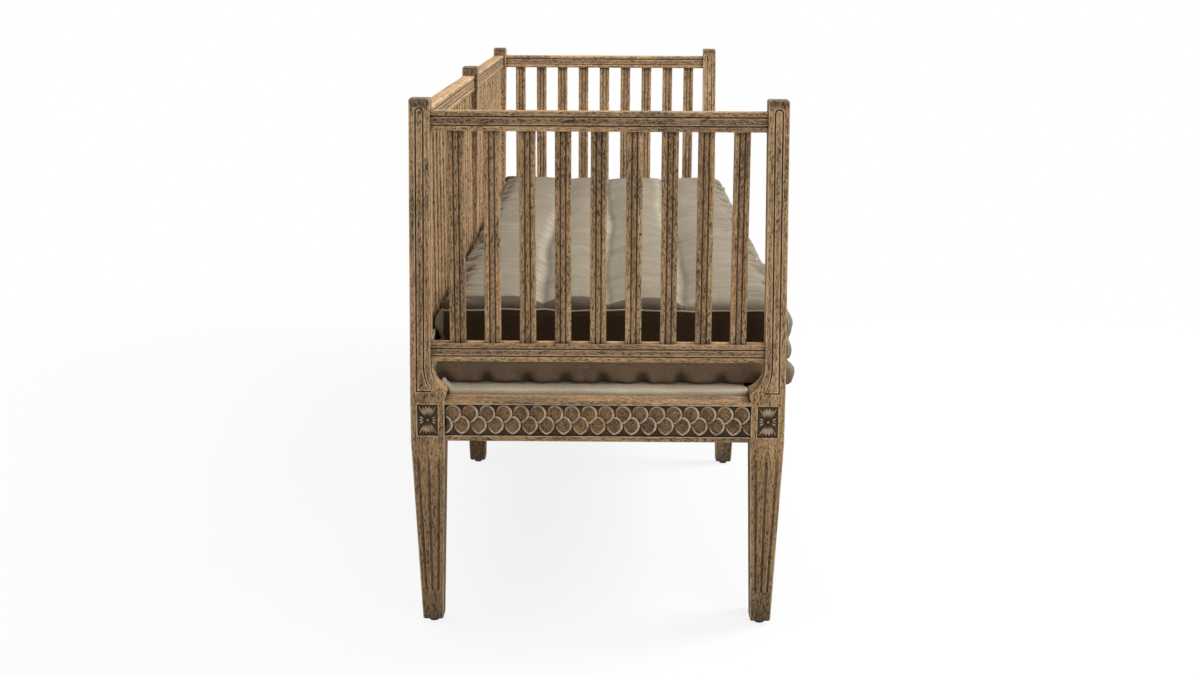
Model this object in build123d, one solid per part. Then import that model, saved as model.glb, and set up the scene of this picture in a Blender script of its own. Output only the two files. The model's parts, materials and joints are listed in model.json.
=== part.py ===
from build123d import *
import os

# A slatted bench in the Gustavian manner whose front pulls out into a double bed.
# Millimetres. X runs along the bench, Y from the open front (-Y) to the back (+Y), Z up.
# The origin is on the floor, midway between the ends and between front and back.
# An inset is a distance inwards from the outer faces of the seat blocks.

# Overall
LENGTH = 2050.0
DEPTH = 636.0
HEIGHT = 914.0

# Posts and legs
POST = 34.5                 # section of a post above the seat
POST_LEAN = 6.3             # inset of a post top, front and back
POST_TOP_ROUND = 4.0
BLOCK = 57.5                # section of a seat block
BLOCK_BOTTOM = 333.5
BLOCK_TOP = 420.0
SWEEP_TOP = 464.0           # where a post starts to sweep out towards its block
NOSE_TOP = 420.0            # where the sweep ends in a rounded nose
NOSE_BOTTOM = 407.0
NOSE_BULGE = 2.0
FOOT = 35.0
FOOT_INSET = 14.3
FOOT_EASE = 3.0
GLIDE_RADIUS = 8.0
GLIDE_HEIGHT = 6.0

# Reeded panels of the posts
REED = 12.6                 # between the middles of the two grooves
REED_GROOVE = 2.7
REED_DEPTH = 2.4
REED_TOP_GAP = 16.0         # from the arch to the post top
REED_RUN = 43.5             # from the start of the sweep down to the reeds' stop
REED_SPLAY = 11.5           # how far a groove runs out with the sweep

# Flutes of the legs
FLUTE_TOP = 307.0
FLUTE_BOTTOM = 58.0
FLUTE_WIDE = 6.6
FLUTE_NARROW = 5.0
FLUTE_DEPTH = 2.3
FLUTE_POINT = 9.0
FLUTE_FACETS = 4            # flats round a flute cutter's hollow side
FLUTE_SPREAD = 200.0        # degrees that they turn through
FLUTE_PITCH_TOP = 0.33      # shares of the leg's width
FLUTE_PITCH_BOTTOM = 0.26

# Rails and slats of the end and back frames
TOP_RAIL_DROP = 20.5        # from the post tops to the top rails
TOP_RAIL_HEIGHT = 33.0
LOW_RAIL_TOP = 503.5
LOW_RAIL_HEIGHT = 31.0
RAIL_THICK = 26.0
RAIL_BEAD = 8.0
RAIL_QUIRK = 2.6
RAIL_QUIRK_DEPTH = 2.2
RAIL_BEAD_RISE = 1.0
RAIL_TENON = 12.0
RAIL_TENON_THICK = 10.0
RAIL_TENON_HEIGHT = 18.0
END_SLATS = 9
BAY_SLATS = 16
SLAT_WIDTH = 27.0
SLAT_THICK = 15.0
SLAT_BANDS = 3              # bands on a slat's face, with a V groove between two
SLAT_GROOVE = 3.0
SLAT_GROOVE_DEPTH = 1.8
SLAT_TENON = 9.0
SLAT_TENON_THICK = 7.0
SLAT_TENON_WIDTH = 17.0

# Seat aprons
APRON_TOP = 404.0
APRON_SET_BACK = 3.0
APRON_THICK = 30.0
APRON_BORDER = 9.5
FRIEZE_DEPTH = 5.0
CAP_THICK = 6.0
CAP_DEPTH = 50.0
CAP_SET_BACK = 1.0
CAP_ROUND = 2.5
PATERA_WIDTH = 35.0
PATERA_DEPTH = 3.0

# Deck of fixed and sliding slats
DECK_TOP = 384.0
DECK_STEPS = 16             # slats to each side of the middle one
DECK_GAP = 3.0
DECK_EASE = 2.0
FIXED_SLAT_THICK = 16.0
SLIDING_SLAT_THICK = 20.0
SLIDE_GAP = 0.3             # between a sliding piece and what carries it
SLAT_END_GAP = 1.5          # from a slat's end to a seat block
BEARER_BOTTOM = 334.0
BACK_BEARER_REACH = 45.0
FRONT_BEARER_INSET = 80.0
FRONT_BEARER_THICK = 24.0

# Pull-out frame
BLOCK_GAP = 4.0             # between the pull-out and each corner block
INNER_LEG = 48.0
INNER_LEG_SET_BACK = 2.0
INNER_FOOT = 28.0
CLEAT_REACH = 40.0
CLEAT_HEIGHT = 24.0
SIDE_RAIL = 24.0
SIDE_RAIL_HEIGHT = 18.0
TIE_THICK = 24.0
TIE_GAP = 11.0              # from the rear tie to the back bearer when the bench is closed

# Soft goods
PAD_END_INSET = 53.0
PAD_SIDE_INSET = 62.0
PAD_TOP = 412.0
PAD_ROUND = 6.0
SOFT_GAP = 0.3
MATTRESS_END_INSET = 104.0
MATTRESS_BACK_INSET = 42.0
MATTRESS_OVERHANG = 14.0
MATTRESS_THICK = 146.0
MATTRESS_ROUND = 24.0
MATTRESS_EASE = 10.0

LEFT, RIGHT, FRONT, BACK = -1, 1, -1, 1
SIDE_NAMES = {LEFT: "left", RIGHT: "right"}

# Levels and faces that several pieces share
TOP_RAIL_TOP = HEIGHT - TOP_RAIL_DROP
REED_STOP = SWEEP_TOP - REED_RUN
FRIEZE_BOTTOM = BLOCK_BOTTOM + APRON_BORDER
FRIEZE_TOP = APRON_TOP - CAP_THICK
APRON_INNER = APRON_SET_BACK + APRON_THICK
FIXED_UNDER = DECK_TOP - FIXED_SLAT_THICK
SLIDING_UNDER = DECK_TOP - SLIDING_SLAT_THICK
SIDE_RAIL_UNDER = SLIDING_UNDER - SIDE_RAIL_HEIGHT
BEARER_FRONT = -DEPTH / 2 + FRONT_BEARER_INSET
BEARER_REAR = BEARER_FRONT + FRONT_BEARER_THICK
BACK_BEARER_FRONT = DEPTH / 2 - APRON_INNER - BACK_BEARER_REACH
TIE_FRONT = BACK_BEARER_FRONT - TIE_GAP - TIE_THICK
INNER_LEG_OUTER = LENGTH / 2 - BLOCK - BLOCK_GAP
INNER_LEG_INNER = INNER_LEG_OUTER - INNER_LEG
INNER_LEG_REAR = -DEPTH / 2 + INNER_LEG_SET_BACK + INNER_LEG
DECK_PITCH = (LENGTH / 2 - APRON_INNER - DECK_GAP / 2) / (DECK_STEPS + 0.5)
DECK_SLAT_WIDTH = DECK_PITCH - DECK_GAP


def from_end(side):
    """X of a point that lies an inset in from one end."""
    return lambda inset: side * (LENGTH / 2 - inset)


def from_side(side):
    """Y of a point that lies an inset in from the front or the back."""
    return lambda inset: side * (DEPTH / 2 - inset)


def from_middle(inset):
    """X of a point on a centre post, counted from its block's left face."""
    return inset - BLOCK / 2


def span(corner, opposite):
    """A box between two opposite corners, given in any order."""
    low = [min(pair) for pair in zip(corner, opposite)]
    size = [abs(a - b) for a, b in zip(corner, opposite)]
    return Pos(*low) * Box(*size, align=(Align.MIN, Align.MIN, Align.MIN))


def along_x(outline, start, end):
    """An outline in Y and Z, run along the bench."""
    return Pos(start, 0, 0) * extrude(Plane.YZ * outline, amount=end - start, dir=(1, 0, 0))


def along_y(outline, start, end):
    """An outline in X and Z, run from front to back."""
    return Pos(0, start, 0) * extrude(Plane.XZ * outline, amount=end - start, dir=(0, 1, 0))


def risen(z):
    """Share of a post's length that lies below a height."""
    return (z - BLOCK_TOP) / (HEIGHT - BLOCK_TOP)


def lean_at(z):
    """How far a post has leant in at a height."""
    return POST_LEAN * risen(z)


# ---------------------------------------------------------------- posts and legs
def sweep_side(place, post, foot, lean):
    """Edges down the side of a post that sweeps out over its seat block and tapers to the foot."""
    start = (place(post + lean * risen(SWEEP_TOP)), SWEEP_TOP)
    nose_top = (place(BLOCK), NOSE_TOP)
    nose_bottom = (place(BLOCK), NOSE_BOTTOM)
    nose = (place(BLOCK + NOSE_BULGE), (NOSE_TOP + NOSE_BOTTOM) / 2)
    return [
        Line((place(post + lean), HEIGHT), start),
        TangentArc(start, nose_top, tangent=(0, -1)),
        ThreePointArc(nose_top, nose, nose_bottom),
        Line(nose_bottom, (place(BLOCK), BLOCK_BOTTOM)),
        Line((place(BLOCK), BLOCK_BOTTOM), (place(foot), GLIDE_HEIGHT)),
    ]


def corner_outline(place, lean=0.0):
    """Outline of a corner post and its leg: straight outside, swept inside."""
    foot = FOOT_INSET + FOOT
    outside = Polyline(
        (place(foot), GLIDE_HEIGHT), (place(FOOT_INSET), GLIDE_HEIGHT), (place(0), BLOCK_BOTTOM),
        (place(0), BLOCK_TOP), (place(lean), HEIGHT), (place(lean + POST), HEIGHT),
    )
    return Face(Wire([*outside.edges(), *sweep_side(place, POST, foot, lean)]))


def centre_outline():
    """Outline of the centre back post seen from the front: swept on both sides."""
    post, foot = (BLOCK + POST) / 2, (BLOCK + FOOT) / 2
    right = sweep_side(from_middle, post, foot, 0.0)
    left = sweep_side(lambda inset: -from_middle(inset), post, foot, 0.0)
    top = Line((-POST / 2, HEIGHT), (POST / 2, HEIGHT))
    bottom = Line((-FOOT / 2, GLIDE_HEIGHT), (FOOT / 2, GLIDE_HEIGHT))
    return Face(Wire([top, *right, bottom, *left]))


def leg_outline(place, foot_inset, block, foot):
    """Outline of a leg that stops level with the top of the aprons."""
    return make_face(Polyline(
        (place(foot_inset), GLIDE_HEIGHT), (place(0), BLOCK_BOTTOM), (place(0), APRON_TOP),
        (place(block), APRON_TOP), (place(block), BLOCK_BOTTOM),
        (place(foot_inset + foot), GLIDE_HEIGHT), close=True,
    ))


def centre_post_side():
    """Outline of the centre back post seen from the end: its post stands on a wider block."""
    place = from_side(BACK)
    post = make_face(Polyline(
        (place(0), APRON_TOP), (place(lean_at(HEIGHT)), HEIGHT),
        (place(lean_at(HEIGHT) + POST), HEIGHT), (place(POST), APRON_TOP), close=True,
    ))
    return post + leg_outline(place, FOOT_INSET, BLOCK, FOOT)


def crossed(side_outline, front_outline):
    """The solid that shows one outline from the end and another from the front."""
    return (
        extrude(Plane.YZ * side_outline, amount=LENGTH, both=True)
        & extrude(Plane.XZ * front_outline, amount=DEPTH, both=True)
    )


def reed_loop(place, spread, lean, both_sides):
    """Arch-headed outline round a post's centre reed, widened by a spread."""
    half = REED / 2 + spread
    spring = HEIGHT - REED_TOP_GAP - REED / 2
    lean_up = lean * risen(spring)
    stop = REED_STOP - spread
    near, far = POST / 2 - half, POST / 2 + half

    def sweeping(inset, way):
        turn = (place(inset), SWEEP_TOP)
        end = (place(inset + way * REED_SPLAY), stop)
        return [Line((place(inset + lean_up), spring), turn), TangentArc(turn, end, tangent=(0, -1))]

    inner = sweeping(far, 1)
    outer = sweeping(near, -1) if both_sides else [
        Line((place(near + lean_up), spring), (place(near), stop))
    ]
    head = ThreePointArc(
        (place(near + lean_up), spring), (place(POST / 2 + lean_up), spring + half),
        (place(far + lean_up), spring),
    )
    base = Line((place(near - both_sides * REED_SPLAY), stop), (place(far + REED_SPLAY), stop))
    return Face(Wire([head, *inner, base, *outer]))


def reed_groove(plane, place, lean=0.0, both_sides=False):
    """A prism of the groove round a reed, long enough to pass right through a post."""
    wide = reed_loop(place, REED_GROOVE / 2, lean, both_sides)
    narrow = reed_loop(place, -REED_GROOVE / 2, lean, both_sides)
    return extrude(plane * (wide - narrow), amount=LENGTH, both=True)


def groove_cut(blank, prism, way_x, way_y):
    """The part of a groove's prism that lies just under one face of a post."""
    return prism - Pos(REED_DEPTH * way_x, REED_DEPTH * way_y, 0) * blank


def flute_ring(plane, width, z):
    """Corners of a flute cutter's section at a place along it: a faceted hollow, closed outside."""
    radius = (width**2 / 4 + FLUTE_DEPTH**2) / (2 * FLUTE_DEPTH)
    middle = Vector(radius - FLUTE_DEPTH, 0, z)
    turns = [FLUTE_SPREAD * (step / FLUTE_FACETS - 0.5) for step in range(FLUTE_FACETS + 1)]
    corners = [middle + Vector(-radius, 0, 0).rotate(Axis.Z, turn) for turn in turns]
    return [plane.from_local_coords(corner) for corner in corners]


def flute(ends, outwards):
    """A pointed, tapering channel cutter along a leg's face, from its top end to its foot."""
    top, bottom = Vector(*ends[0]), Vector(*ends[1])
    plane = Plane(origin=bottom, x_dir=Vector(*outwards), z_dir=top - bottom)
    length = (top - bottom).length
    rings = [
        flute_ring(plane, FLUTE_NARROW, FLUTE_POINT / 2),
        flute_ring(plane, FLUTE_WIDE, length - FLUTE_POINT),
    ]
    faces = []
    for index in range(len(rings[0])):
        low, high = ((ring[index - 1], ring[index]) for ring in rings)
        faces.append(Face(Wire.make_polygon([*low, *reversed(high)])))
        faces.append(Face(Wire.make_polygon([bottom, *low])))
        faces.append(Face(Wire.make_polygon([top, *high])))
    return Solid(Shell(faces))


def leg_faces(z, foot_inset):
    """Insets of a leg's two opposite faces at a height."""
    share = (BLOCK_BOTTOM - z) / (BLOCK_BOTTOM - GLIDE_HEIGHT)
    return foot_inset * share, BLOCK + (foot_inset + FOOT - BLOCK) * share


def flutes(place_x, place_y, foot_inset_x):
    """Three flute cutters for each of a leg's four faces."""
    cutters = []
    levels = ((FLUTE_TOP, FLUTE_PITCH_TOP), (FLUTE_BOTTOM, FLUTE_PITCH_BOTTOM))
    for face in (0, 1):
        out_x, out_y = place_x(face) - place_x(1 - face), place_y(face) - place_y(1 - face)
        for step in (-1, 0, 1):
            on_x, on_y = [], []
            for z, pitch in levels:
                in_x, in_y = leg_faces(z, foot_inset_x), leg_faces(z, FOOT_INSET)
                x = sum(in_x) / 2 + step * pitch * (in_x[1] - in_x[0])
                y = sum(in_y) / 2 + step * pitch * (in_y[1] - in_y[0])
                on_x.append((place_x(in_x[face]), place_y(y), z))
                on_y.append((place_x(x), place_y(in_y[face]), z))
            cutters += [flute(on_x, (out_x, 0, 0)), flute(on_y, (0, out_y, 0))]
    return cutters


def patera_recess(place_x, place_y, facing_end):
    """The shallow rectangle that a block's carving sits in, on its end or its front face."""
    low, high = (BLOCK - PATERA_WIDTH) / 2, (BLOCK + PATERA_WIDTH) / 2
    if facing_end:
        corners = (place_x(-BLOCK_GAP), place_y(low)), (place_x(PATERA_DEPTH), place_y(high))
    else:
        corners = (place_x(low), place_y(-BLOCK_GAP)), (place_x(high), place_y(PATERA_DEPTH))
    return span((*corners[0], FRIEZE_BOTTOM), (*corners[1], FRIEZE_TOP))


def foot_eased(leg):
    """Ease the bottom edges of a leg."""
    return chamfer(leg.faces().sort_by(Axis.Z)[0].edges(), FOOT_EASE)


def top_rounded(post):
    """Round the top edges of a post."""
    return fillet(post.faces().sort_by(Axis.Z)[-1].edges(), POST_TOP_ROUND)


def corner_post(end, side):
    """A corner post with its seat block and leg, reeded, fluted and recessed for its carvings."""
    place_x, place_y = from_end(end), from_side(side)
    blank = crossed(corner_outline(place_y, POST_LEAN), corner_outline(place_x))
    post = top_rounded(foot_eased(blank))
    end_groove = reed_groove(Plane.YZ, place_y, POST_LEAN)
    side_groove = reed_groove(Plane.XZ, place_x)
    cuts = [groove_cut(blank, end_groove, -end, 0), groove_cut(blank, side_groove, 0, -side)]
    cuts.append(patera_recess(place_x, place_y, True))
    if side == FRONT:
        cuts.append(groove_cut(blank, end_groove, end, 0))
        cuts.append(patera_recess(place_x, place_y, False))
    cuts += flutes(place_x, place_y, FOOT_INSET)
    return blank, post - cuts


def centre_back_post():
    """The post in the middle of the back, with its seat block and leg."""
    place_y = from_side(BACK)
    blank = crossed(centre_post_side(), centre_outline())
    post = top_rounded(foot_eased(blank))
    groove = reed_groove(Plane.XZ, lambda inset: inset - POST / 2, 0.0, True)
    cuts = [groove_cut(blank, groove, 0, way) for way in (FRONT, BACK)]
    return blank, post - cuts - flutes(from_middle, place_y, (BLOCK - FOOT) / 2)


def centre_front_leg():
    """The leg in the middle of the pull-out's front, with its seat block."""
    place_y = from_side(FRONT)
    foot_inset = (BLOCK - FOOT) / 2
    leg = foot_eased(crossed(
        leg_outline(place_y, FOOT_INSET, BLOCK, FOOT),
        leg_outline(from_middle, foot_inset, BLOCK, FOOT),
    ))
    recess = patera_recess(from_middle, place_y, False)
    return leg - recess - flutes(from_middle, place_y, foot_inset)


def inner_leg(end):
    """A slim plain leg at one end of the pull-out, hidden behind the corner leg at rest."""
    foot_inset = (INNER_LEG - INNER_FOOT) / 2
    outer = LENGTH / 2 - INNER_LEG_OUTER
    return foot_eased(crossed(
        leg_outline(
            lambda inset: from_side(FRONT)(INNER_LEG_SET_BACK + inset),
            FOOT_INSET, INNER_LEG, INNER_FOOT,
        ),
        leg_outline(lambda inset: from_end(end)(outer + inset), foot_inset, INNER_LEG, INNER_FOOT),
    ))


def glide(x, y):
    """A round glide under a foot."""
    return Pos(x, y, GLIDE_HEIGHT / 2) * Cylinder(GLIDE_RADIUS, GLIDE_HEIGHT)


# ---------------------------------------------------------------- rails and slats
def rail_outline(middle, top, height):
    """Section of a rail: a bead, a quirk, a flat band, a quirk and a bead on either face."""
    bottom, half = top - height, RAIL_THICK / 2
    face = half - RAIL_BEAD_RISE
    edges = [Line((middle - face, bottom), (middle + face, bottom))]
    for way in (-1, 1):
        def point(out, z):
            return (middle + way * out, z)

        low, high = bottom + RAIL_BEAD, top - RAIL_BEAD
        sunk = face - RAIL_QUIRK_DEPTH
        edges.append(ThreePointArc(
            point(face, bottom), point(half, bottom + RAIL_BEAD / 2), point(face, low)
        ))
        edges += Polyline(
            point(face, low), point(sunk, low), point(sunk, low + RAIL_QUIRK),
            point(face, low + RAIL_QUIRK), point(face, high - RAIL_QUIRK),
            point(sunk, high - RAIL_QUIRK), point(sunk, high), point(face, high),
        ).edges()
        edges.append(ThreePointArc(
            point(face, high), point(half, top - RAIL_BEAD / 2), point(face, top)
        ))
    edges.append(Line((middle - face, top), (middle + face, top)))
    return Face(Wire(edges))


def slat_blank(length, turned):
    """An upright slat on the origin with a tenon at each end, its width along X or turned to Y."""
    half, band = SLAT_WIDTH / 2, SLAT_WIDTH / SLAT_BANDS
    face, groove = SLAT_THICK / 2, SLAT_GROOVE / 2
    side = [(-half, face)]
    for index in range(1, SLAT_BANDS):
        middle = index * band - half
        side += [(middle - groove, face), (middle, face - SLAT_GROOVE_DEPTH), (middle + groove, face)]
    side.append((half, face))
    section = make_face(Polyline(*side, *((-x, -y) for x, y in side), close=True))
    tenon = Box(SLAT_TENON_WIDTH, SLAT_TENON_THICK, length + 2 * SLAT_TENON)
    slat = extrude(section, amount=length / 2, both=True) + tenon
    return Rot(0, 0, 90 if turned else 0) * slat


def evenly(start, end, count):
    """Middles of equal slats that leave equal gaps between two faces."""
    gap = (end - start - count * SLAT_WIDTH) / (count + 1)
    return [start + gap * (index + 1) + SLAT_WIDTH * (index + 0.5) for index in range(count)]


def tenon_box(x, y, z, towards, reach):
    """A rail tenon whose shoulder stands at a point and that reaches into a post."""
    way_x, way_y = towards
    side_x, side_y = (RAIL_TENON_THICK / 2 * abs(way) for way in (way_y, way_x))
    up = RAIL_TENON_HEIGHT / 2
    return span(
        (x - way_x * reach - side_x, y - way_y * reach - side_y, z - up),
        (x + way_x * RAIL_TENON + side_x, y + way_y * RAIL_TENON + side_y, z + up),
    )


# ---------------------------------------------------------------- seat
def apron_outline(place, carved):
    """Section of a seat apron: a rounded cap, a sunk frieze where it is carved, and a border."""
    face, cap, cap_inner = APRON_SET_BACK, CAP_SET_BACK, CAP_SET_BACK + CAP_DEPTH
    ease = CAP_ROUND / 2
    start = (place(cap), APRON_TOP - CAP_ROUND)
    end = (place(cap + CAP_ROUND), APRON_TOP)
    middle = (
        place(cap + CAP_ROUND * (1 - 0.5**0.5)), APRON_TOP - CAP_ROUND * (1 - 0.5**0.5)
    )
    sunk = [(place(face + FRIEZE_DEPTH), z) for z in (FRIEZE_TOP, FRIEZE_BOTTOM)] if carved else []
    border = [(place(face), FRIEZE_BOTTOM)] if carved else []
    under_cap = [] if carved else [(place(face), FRIEZE_TOP)]
    rest = Polyline(
        end, (place(cap_inner - ease), APRON_TOP), (place(cap_inner), APRON_TOP - ease),
        (place(cap_inner), FRIEZE_TOP), (place(APRON_INNER), FRIEZE_TOP),
        (place(APRON_INNER), BLOCK_BOTTOM), (place(face + ease), BLOCK_BOTTOM),
        (place(face), BLOCK_BOTTOM + ease), *border, *reversed(sunk), *under_cap,
        (place(cap), FRIEZE_TOP), start,
    )
    return Face(Wire([ThreePointArc(start, middle, end), *rest.edges()]))


def deck_slat(x, thick, start, end):
    """A deck slat with eased top edges."""
    half, under = DECK_SLAT_WIDTH / 2, DECK_TOP - thick
    outline = make_face(Polyline(
        (x - half, under), (x + half, under), (x + half, DECK_TOP - DECK_EASE),
        (x + half - DECK_EASE, DECK_TOP), (x - half + DECK_EASE, DECK_TOP),
        (x - half, DECK_TOP - DECK_EASE), close=True,
    ))
    return along_y(outline, start, end)


def slide_notches(places, start, end):
    """Notches in a bearer that the sliding slats run in."""
    half = (DECK_SLAT_WIDTH + DECK_GAP) / 2
    floor = SLIDING_UNDER - SLIDE_GAP
    return [span((x - half, start, floor), (x + half, end, DECK_TOP)) for x in places]


# ---------------------------------------------------------------- assembly
parts = {}
cuts = {}
blanks = {}


def add(name, shape):
    """Keep a piece under its node's name."""
    parts[name] = shape


def cut(name, shapes):
    """Note what a piece is cut by once all pieces are made."""
    cuts.setdefault(name, []).extend(shapes)


for end, end_name in SIDE_NAMES.items():
    for side, side_name in ((FRONT, "front"), (BACK, "back")):
        name = f"{end_name}_{side_name}_post"
        blanks[name], post = corner_post(end, side)
        add(name, post)
blanks["centre_back_post"], centre_post = centre_back_post()
add("centre_back_post", centre_post)

RAILS = {"top": (TOP_RAIL_TOP, TOP_RAIL_HEIGHT), "low": (LOW_RAIL_TOP, LOW_RAIL_HEIGHT)}
slat_length = TOP_RAIL_TOP - TOP_RAIL_HEIGHT - LOW_RAIL_TOP
slat_middle_z = LOW_RAIL_TOP + slat_length / 2

# End frames
for end, end_name in SIDE_NAMES.items():
    rail_x = from_end(end)(POST / 2)
    low_face = -DEPTH / 2 + POST + lean_at(LOW_RAIL_TOP)
    slat_places = evenly(low_face, -low_face, END_SLATS)
    slats = [Pos(rail_x, y, slat_middle_z) * slat_blank(slat_length, True) for y in slat_places]
    for index, slat in enumerate(slats, 1):
        add(f"{end_name}_end_slat_{index}", slat)
    for level, (top, height) in RAILS.items():
        rail_z = top - height / 2
        reach = DEPTH / 2 - POST / 2
        rail = along_y(rail_outline(rail_x, top, height), -reach, reach)
        for side, side_name in ((FRONT, "front"), (BACK, "back")):
            post_name = f"{end_name}_{side_name}_post"
            shoulder = from_side(side)(POST + lean_at(rail_z))
            tenon = tenon_box(rail_x, shoulder, rail_z, (0, side), RAIL_BEAD)
            rail = rail - blanks[post_name] + tenon
            cut(post_name, [tenon])
        add(f"{end_name}_end_{level}_rail", rail - slats)
    apron_reach = DEPTH / 2 - BLOCK
    apron = along_y(apron_outline(from_end(end), True), -apron_reach, apron_reach)
    add(f"{end_name}_end_apron", apron)

# Back frame, in two bays either side of the centre post
for end, end_name in SIDE_NAMES.items():
    outer, inner = LENGTH / 2 - POST, POST / 2
    lean_middle = lean_at((TOP_RAIL_TOP + LOW_RAIL_TOP) / 2)
    slat_y = from_side(BACK)(POST / 2 + lean_middle)
    slat_places = [end * x for x in evenly(inner, outer, BAY_SLATS)]
    slats = [Pos(x, slat_y, slat_middle_z) * slat_blank(slat_length, False) for x in slat_places]
    add(f"back_{end_name}_slats", Compound(children=slats))
    for level, (top, height) in RAILS.items():
        rail_z = top - height / 2
        reach = sorted((end * (outer + POST / 2), 0.0))
        rail = along_x(rail_outline(slat_y, top, height), *reach)
        for x, towards, post_name in (
            (end * outer, end, f"{end_name}_back_post"), (end * inner, -end, "centre_back_post"),
        ):
            tenon = tenon_box(x, slat_y, rail_z, (towards, 0), RAIL_BEAD)
            rail = rail - blanks[post_name] + tenon
            cut(post_name, [tenon])
        add(f"back_{end_name}_{level}_rail", rail - slats)
    ends = sorted((end * BLOCK / 2, end * (LENGTH / 2 - BLOCK)))
    add(f"back_{end_name}_apron", along_x(apron_outline(from_side(BACK), False), *ends))

# Fixed deck
steps = range(-DECK_STEPS, DECK_STEPS + 1)
fixed_places = [DECK_PITCH * step for step in steps if step % 2 == 0]
sliding_places = [DECK_PITCH * step for step in steps if step % 2]
slat_rear = DEPTH / 2 - BLOCK - SLAT_END_GAP
apron_face = LENGTH / 2 - APRON_INNER
add("fixed_deck_slats", Compound(children=[
    deck_slat(x, FIXED_SLAT_THICK, BEARER_FRONT, slat_rear) for x in fixed_places
]))
rail_outer = INNER_LEG_OUTER + SLIDE_GAP
rail_inner = INNER_LEG_OUTER - SIDE_RAIL - SLIDE_GAP
rail_floor = SIDE_RAIL_UNDER - SLIDE_GAP
rail_notches = [
    span((end * rail_inner, BEARER_FRONT, rail_floor), (end * rail_outer, BEARER_REAR, DECK_TOP))
    for end in SIDE_NAMES
]
add("front_bearer", span(
    (-apron_face, BEARER_FRONT, BEARER_BOTTOM), (apron_face, BEARER_REAR, FIXED_UNDER)
) - slide_notches(sliding_places, BEARER_FRONT, BEARER_REAR) - rail_notches)
back_face = DEPTH / 2 - APRON_INNER
add("back_bearer", span(
    (-apron_face, BACK_BEARER_FRONT, BEARER_BOTTOM), (apron_face, back_face, FIXED_UNDER)
) - slide_notches(sliding_places, BACK_BEARER_FRONT, back_face)
    - [blanks[f"{name}_back_post"] for name in ("left", "right", "centre")])
for end, end_name in SIDE_NAMES.items():
    add(f"{end_name}_runner", span(
        (end * apron_face, BEARER_REAR, BEARER_BOTTOM),
        (end * rail_inner, BACK_BEARER_FRONT, rail_floor),
    ))

# Pull-out frame
for end, end_name in SIDE_NAMES.items():
    add(f"{end_name}_inner_leg", inner_leg(end))
    ends = sorted((end * BLOCK / 2, end * INNER_LEG_INNER))
    add(f"front_{end_name}_apron", along_x(apron_outline(from_side(FRONT), True), *ends))
    add(f"front_{end_name}_cleat", span(
        (end * BLOCK / 2, -back_face, SLIDING_UNDER - CLEAT_HEIGHT),
        (end * INNER_LEG_INNER, -back_face + CLEAT_REACH, SLIDING_UNDER),
    ))
    add(f"{end_name}_side_rail", span(
        (end * INNER_LEG_OUTER, INNER_LEG_REAR, SIDE_RAIL_UNDER),
        (end * (INNER_LEG_OUTER - SIDE_RAIL), TIE_FRONT + TIE_THICK, SLIDING_UNDER),
    ))
add("centre_front_leg", centre_front_leg())
tie_end = INNER_LEG_OUTER - SIDE_RAIL
add("rear_tie", span(
    (-tie_end, TIE_FRONT, SIDE_RAIL_UNDER), (tie_end, TIE_FRONT + TIE_THICK, SLIDING_UNDER)
))
add("sliding_deck_slats", Compound(children=[
    deck_slat(x, SLIDING_SLAT_THICK, INNER_LEG_REAR, slat_rear) for x in sliding_places
]))

# Glides
foot_middle = FOOT_INSET + FOOT / 2
foot_y = DEPTH / 2 - foot_middle
corner_x = LENGTH / 2 - foot_middle
inner_x = INNER_LEG_OUTER - INNER_LEG / 2
inner_y = -DEPTH / 2 + INNER_LEG_SET_BACK + FOOT_INSET + INNER_FOOT / 2
add("fixed_glides", Compound(children=[
    glide(x, y) for x in (-corner_x, corner_x) for y in (-foot_y, foot_y)
] + [glide(0, foot_y)]))
add("pull_out_glides", Compound(children=[
    glide(-inner_x, inner_y), glide(0, -foot_y), glide(inner_x, inner_y)
]))

# Soft goods
pad_x, pad_y = LENGTH / 2 - PAD_END_INSET, DEPTH / 2 - PAD_SIDE_INSET
pad = span((-pad_x, -pad_y, DECK_TOP + SOFT_GAP), (pad_x, pad_y, PAD_TOP))
add("deck_pad", fillet(pad.edges().filter_by(Axis.Z), PAD_ROUND))
mattress_x, mattress_under = LENGTH / 2 - MATTRESS_END_INSET, PAD_TOP + SOFT_GAP
mattress = span(
    (-mattress_x, -DEPTH / 2 - MATTRESS_OVERHANG, mattress_under),
    (mattress_x, DEPTH / 2 - MATTRESS_BACK_INSET, mattress_under + MATTRESS_THICK),
)
mattress = fillet(mattress.edges().filter_by(Axis.Z), MATTRESS_ROUND)
flats = mattress.faces().sort_by(Axis.Z)
add("mattress", chamfer(flats[0].edges() + flats[-1].edges(), MATTRESS_EASE))

os.makedirs("parts", exist_ok=True)
for name, shape in parts.items():
    if name in cuts:
        shape = shape - cuts[name]
    shape.label = name
    export_step(shape, f"parts/{name}.step")
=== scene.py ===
"""Dresses a Gustavian pull out bench: driftwood finish, carved aprons and a stitched linen mattress."""

import json
import logging
import math
from dataclasses import dataclass
from enum import Enum
from typing import Callable, Iterable, Sequence

import bmesh
import bpy
import numpy as np
from mathutils import Matrix, Vector


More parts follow.
